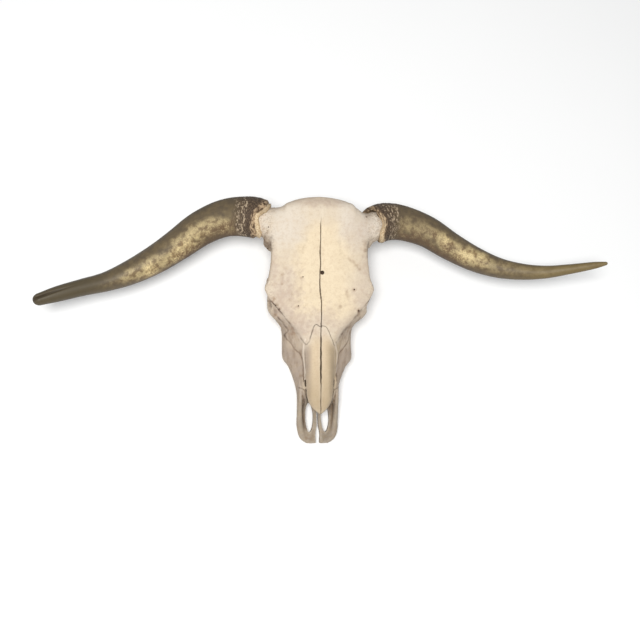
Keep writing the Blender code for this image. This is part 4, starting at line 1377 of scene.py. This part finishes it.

# %% [markdown]
# ### Dry bone
#
# Bone bleached by the sun is porous and matt: about 1.55 in refraction, but so rough that it hardly shines.
# Fat left in the forehead and the nasals keeps them yellow, the horn roots go ashen, and the muzzle holds
# dust, darkened further as painted shade where it slopes from the light, as are the snout and the flanks.
# Pores are 0.3 to 1 mm across, too fine to show from here, so they are drawn at 1.5 to 3 mm.

# %% Bone material
BONE_GRAINS = {"patches": (34, 3, EVEN), "mottle": (9, 3, EVEN), "speckle": (3.2, 5, EVEN)}
PORE_SCALE = 0.42  # one pore in each 1 / 0.42 = 2.4 mm
BONE_CREAM = "#D8C9B2"
BONE_LAYERS = [
    ("#E3D1B2", ("yellowed",)),  # fat in the forehead
    ("#D8CCBB", ("ashen",)),  # bleached horn roots
    ("#C0AD9D", ("mauve",), ("mottle", 0.3, 0.6, 0.4, 1)),  # violet-grey weathering
    ("#A89889", ("muzzle",)),  # dust, and painted shade on the cheeks and the nasal flanks that slope from the light
    ("#D0BB9C", ("bridge",)),  # fat in the bridge of the nose
    ("#AA9676", ("nose_tip", 0, 1, 0, 0.8)),  # old fat at the nasals' free tips
    ("#8D8172", ("snout",)),  # the snout lay on the ground and greyed, and is darker still as painted shade
    ("#6F6350", ("snout",), ("mottle", 0.45, 0.62, 0, 0.7)),  # and took damp blotches
    ("#9C8A77", ("edgeways_dust_and_shade", 0, 1, 0, 0.45)),  # dust on the flanks, and painted shade where the surface turns sideways from the light
    ("#C9B496", ("patches", 0.42, 0.68, 0, 0.22)),  # faint broad patches
    ("#C3AC90", ("mottle", 0.5, 0.7, 0, 0.3)),  # and mottling
    ("#85705E", ("streaks",), ("mottle", 0.3, 0.6, 0.2, 0.55)),  # the muzzle's grain
    ("#E6D8C6", ("pale", 0, 1, 0, 0.6)),  # painted highlight along thin raised edges
    ("#8B7660", ("speckle", 0.5, 0.68, 0, 1), ("rough", 0, 1, 0.14, 0.6)),  # dust in the rough fields
    ("#7D6750", ("relief", 0.46, 0.12, 0, 1), ("mottle", 0.3, 0.6, 0.4, 0.9)),  # darker in the hollows
    ("#EBDFCB", ("relief", 0.6, 0.9, 0, 0.12)),  # worn ridges
    ("#8E6D50", ("smudge",), ("mottle", 0.3, 0.65, 0.25, 1)),  # brown round scars and foramina, and painted shade on the deep temple bump
    ("#4A3324", ("stain_and_shade",), ("mottle", 0.3, 0.62, 0.55, 1)),  # old dirt in seams and round holes, and painted shade in the holes and on the side bars
]


def dry_bone():
    material, tree, shader, place, noises = new_material("dry_bone", "grain", BONE_GRAINS)
    colour = layered(tree, noises, BONE_CREAM, BONE_LAYERS)
    pores = add(tree, "TexVoronoi", Vector=place, Scale=PORE_SCALE).outputs["Distance"]
    pits = add(tree, "MapRange", i0=pores, i1=0.05, i2=0.3).outputs[0]
    bump = add(tree, "Bump", Strength=0.5, Distance=0.0006, Height=noises["speckle"]).outputs[0]
    bump = add(tree, "Bump", Strength=0.25, Distance=0.0005, Height=pits, Normal=bump).outputs[0]
    matt = add(tree, "MapRange", i0=noises["mottle"], i1=0.3, i2=0.7, i3=0.62, i4=0.82).outputs[0]
    wire(tree, shader, Base_Color=colour, Roughness=matt, Normal=bump, IOR=1.55, Specular_IOR_Level=0.3)
    return material


bone_finish = dry_bone()
print(bone_finish.name, "has", len(bone_finish.node_tree.nodes), "nodes")

# %% [markdown]
# ### Enamel and dentine
#
# Enamel is the hardest thing in the body and keeps a dull polish, with a refraction of about 1.62. Dentine
# is softer and brown in the worn basins, and cattle carry dark cement near the gums.

# %% Tooth material
TOOTH_GRAINS = {"streaks": (5, 3, EVEN), "flecks": (1.3, 3, EVEN)}
TOOTH_IVORY = "#E9DFC8"
TOOTH_LAYERS = [
    ("#C9B48E", ("streaks", 0.4, 0.7, 0, 0.5)),
    ("#7A5F42", ("rooted",), ("streaks", 0.35, 0.6, 0.3, 0.85)),  # cement
    ("#6B5138", ("dentine",), ("flecks", 0.3, 0.6, 0.6, 1)),
]


def tooth_enamel():
    material, tree, shader, _, noises = new_material("tooth_enamel", "grain", TOOTH_GRAINS)
    colour = layered(tree, noises, TOOTH_IVORY, TOOTH_LAYERS)
    bump = add(tree, "Bump", Strength=0.4, Distance=0.0003, Height=noises["flecks"]).outputs[0]
    polish = add(tree, "MapRange", i0=noises["streaks"], i1=0.3, i2=0.7, i3=0.32, i4=0.55).outputs[0]
    wire(tree, shader, Base_Color=colour, Roughness=polish, Normal=bump, IOR=1.62)
    return material


enamel_finish = tooth_enamel()
print(enamel_finish.name, "has", len(enamel_finish.node_tree.nodes), "nodes")

# %% [markdown]
# ### Horn keratin
#
# Keratin refracts at about 1.54. At the root it is thick, rough and flaking, dark brown with cream scales.
# The body is olive brown above, with a golden streak on the side turned to the light that is partly its own
# amber and partly a painted highlight, and its edges turned from the light are darkened as painted shade.
# Thin fibres run to the tip, and there it wears smooth and a little glossy. Fibres are about 0.2 mm, and are
# drawn as streaks 2 mm wide.

# %% Horn material
FIBRE_DRAWN = (0.1, 1, 1)  # fibres are ten times as long as wide
HORN_GRAINS = {"fibre": (2.0, 4, FIBRE_DRAWN), "clouds": (13, 5, EVEN), "scales": (2.6, 4, EVEN)}
HORN_BROWN = "#584C3B"


def horn_layers(tree, noises, tip_colour):
    gold = layered(tree, noises, "#8D7550", [("#DAC491", ("clouds", 0.38, 0.56, 0, 1))])
    banded = layered(tree, noises, "#3E3026", [("#7A6650", ("scales", 0.46, 0.72, 0, 1))])
    peeling = layered(tree, noises, "#54412F", [("#B2997A", ("flake", 0.38, 0.62, 0, 1))])
    cream = layered(tree, noises, "#DCC7A4", [("#AF9069", ("scales", 0.42, 0.66, 0, 1))])
    return [
        ("#6A5B42", ("clouds", 0.36, 0.64, 0, 1)),  # olive
        ("#7D6D52", ("fibre", 0.45, 0.68, 0, 0.16)),
        (tip_colour, ("tipward", 0, 1, 0, 0.85)),
        # golden streak: the horn's amber, and a painted highlight on the side turned to the light
        (gold, ("golden",), ("scales", 0.34, 0.58, 0.55, 1)),
        ("#5E4330", ("rusty",), ("scales", 0.62, 0.4, 0, 0.8)),
        (banded, ("dark", 0, 1, 0, 0.9)),
        ("#BBA78C", ("flecked",), ("scales", 0.3, 0.55, 0.5, 0.95)),
        (peeling, ("flaky",)),
        (cream, ("cuff",)),
        ("#3E3427", ("shaded", 0, 1, 0, 0.6)),
        ("#3A2F20", ("split", 0, 1, 0, 0.7)),  # dirt in the split tip
    ]


def horn_keratin(name, tip_colour):
    material, tree, shader, _, noises = new_material(name, "straight", HORN_GRAINS)
    colour = layered(tree, noises, HORN_BROWN, horn_layers(tree, noises, tip_colour))
    along = add(tree, "Attribute", {"attribute_name": "along"}).outputs["Fac"]
    flaking = add(tree, "MapRange", i0=along, i1=90, i2=20, i3=0.15, i4=0.9).outputs[0]
    bump = add(tree, "Bump", Strength=0.35, Distance=0.0005, Height=noises["fibre"]).outputs[0]
    bump = add(tree, "Bump", Strength=flaking, Distance=0.0008, Height=noises["scales"], Normal=bump)
    worn = add(tree, "MapRange", i0=along, i1=60, i2=330, i3=0.75, i4=0.5).outputs[0]
    wire(tree, shader, Base_Color=colour, Roughness=worn, Normal=bump.outputs[0], IOR=1.54,
         Specular_IOR_Level=0.3)
    return material


horn_finish = {-1: horn_keratin("horn_keratin_worn", "#4F4633"), 1: horn_keratin("horn_keratin", "#75643F")}
print([finish.name for finish in horn_finish.values()])

# %% [markdown]
# ## Laying the skull down
#
# The finished pieces are tipped into the pose of rest and hung on the frame's one body, and the solids that
# each stands for are hidden, so that they don't show.

# %% Every piece on the frame
def place_piece(obj, material, slot_name, *nodes):
    """Tips a piece on to the floor, dresses it, and lets it stand for its solids."""
    obj.data.transform(REST)
    obj.data.materials.clear()
    obj.data.materials.append(material)
    obj.data.shade_smooth()
    obj.data.set_sharp_from_angle(angle=math.radians(55))
    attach(obj, "root")
    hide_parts(*nodes)


for name, bone in bones.items():
    place_piece(bone, bone_finish, "bone", name)
for side, row in teeth.items():
    place_piece(row, enamel_finish, "bone", f"maxilla_{SIDES[side]}")
for side, obj in sheaths.items():
    place_piece(obj, horn_finish[side], "horn", f"horn_{SIDES[side]}")

# %% [markdown]
# ## Camera, floor and light
#
# The photo was taken from in front of the face and a little to one side, so this camera looks straight down
# the forehead's own normal, turned by 8 degrees. One soft lamp, 1.2 m across, stands behind the camera and
# almost in line with it, as a flash with an umbrella would. It could stand to one side for stronger relief,
# but the photo hardly shows shadows. The pale floor and the sky fill the rest.

# %% Camera
CAMERA_TURN = math.radians(8)
CAMERA_DISTANCE = 2.2
PHOTO_WIDTH = 640            # pixels
PIXEL = 0.00215              # metres of the face that one of them covers
SENSOR = 36.0
AIM = Vector((-0.00215, 0.2621, 0))  # the place on the face that the middle of the photo shows

camera = bpy.data.objects.new("camera", bpy.data.cameras.new("camera"))
bpy.context.scene.collection.objects.link(camera)
backward = Vector((-math.sin(CAMERA_TURN), 0, math.cos(CAMERA_TURN)))
upward = Vector((0, 1, 0))
facing = Matrix((upward.cross(backward), upward, backward)).transposed().to_4x4()
camera.matrix_world = REST @ Matrix.Translation(AIM + backward * CAMERA_DISTANCE) @ facing
camera.data.sensor_width = SENSOR
camera.data.lens = SENSOR * CAMERA_DISTANCE / (PHOTO_WIDTH * PIXEL)
bpy.context.scene.camera = camera
print("camera at", [round(v, 3) for v in camera.matrix_world.translation], "lens", round(camera.data.lens, 1))

# %% Floor
FLOOR_REACH = 12.0


def pale_floor():
    bm = bmesh.new()
    bmesh.ops.create_grid(bm, x_segments=1, y_segments=1, size=FLOOR_REACH)
    floor = mesh_object("floor", bm)
    material = bpy.data.materials.new("matt_white_board")
    material.use_nodes = True
    tree = material.node_tree
    place = add(tree, "TexCoord").outputs["Object"]
    mottle = add(tree, "TexNoise", Vector=place, Scale=3.0, Detail=2.0).outputs["Fac"]
    colour = add(tree, "Mix", {"data_type": "RGBA"}, i0=mottle, i6="#F9F9F8", i7="#FBFBFA").outputs[2]
    wire(tree, tree.nodes["Principled BSDF"], Base_Color=colour, Roughness=0.9)
    floor.data.materials.append(material)


pale_floor()
print("the floor reaches", FLOOR_REACH, "m each way")

# %% Light
LAMP_PLACE, LAMP_AIM = Vector((-0.72, -0.93, 3.95)), Vector((0, 0, 0.1))
LAMP_WIDTH, LAMP_POWER = 1.2, 145
SKY_STRENGTH = 0.4

lamp = bpy.data.lights.new("key", "AREA")
lamp.shape, lamp.size, lamp.energy = "DISK", LAMP_WIDTH, LAMP_POWER
key = bpy.data.objects.new("key", lamp)
bpy.context.scene.collection.objects.link(key)
key.location = LAMP_PLACE
key.rotation_euler = (LAMP_PLACE - LAMP_AIM).to_track_quat("Z", "Y").to_euler()
world = bpy.data.worlds.new("studio")
world.use_nodes = True
wire(world.node_tree, world.node_tree.nodes["Background"], Color="#F5F6F8", Strength=SKY_STRENGTH)
bpy.context.scene.world = world
bpy.context.scene.view_settings.view_transform = "Standard"
print("the lamp stands", round((LAMP_PLACE - LAMP_AIM).length, 1), "m from the skull")
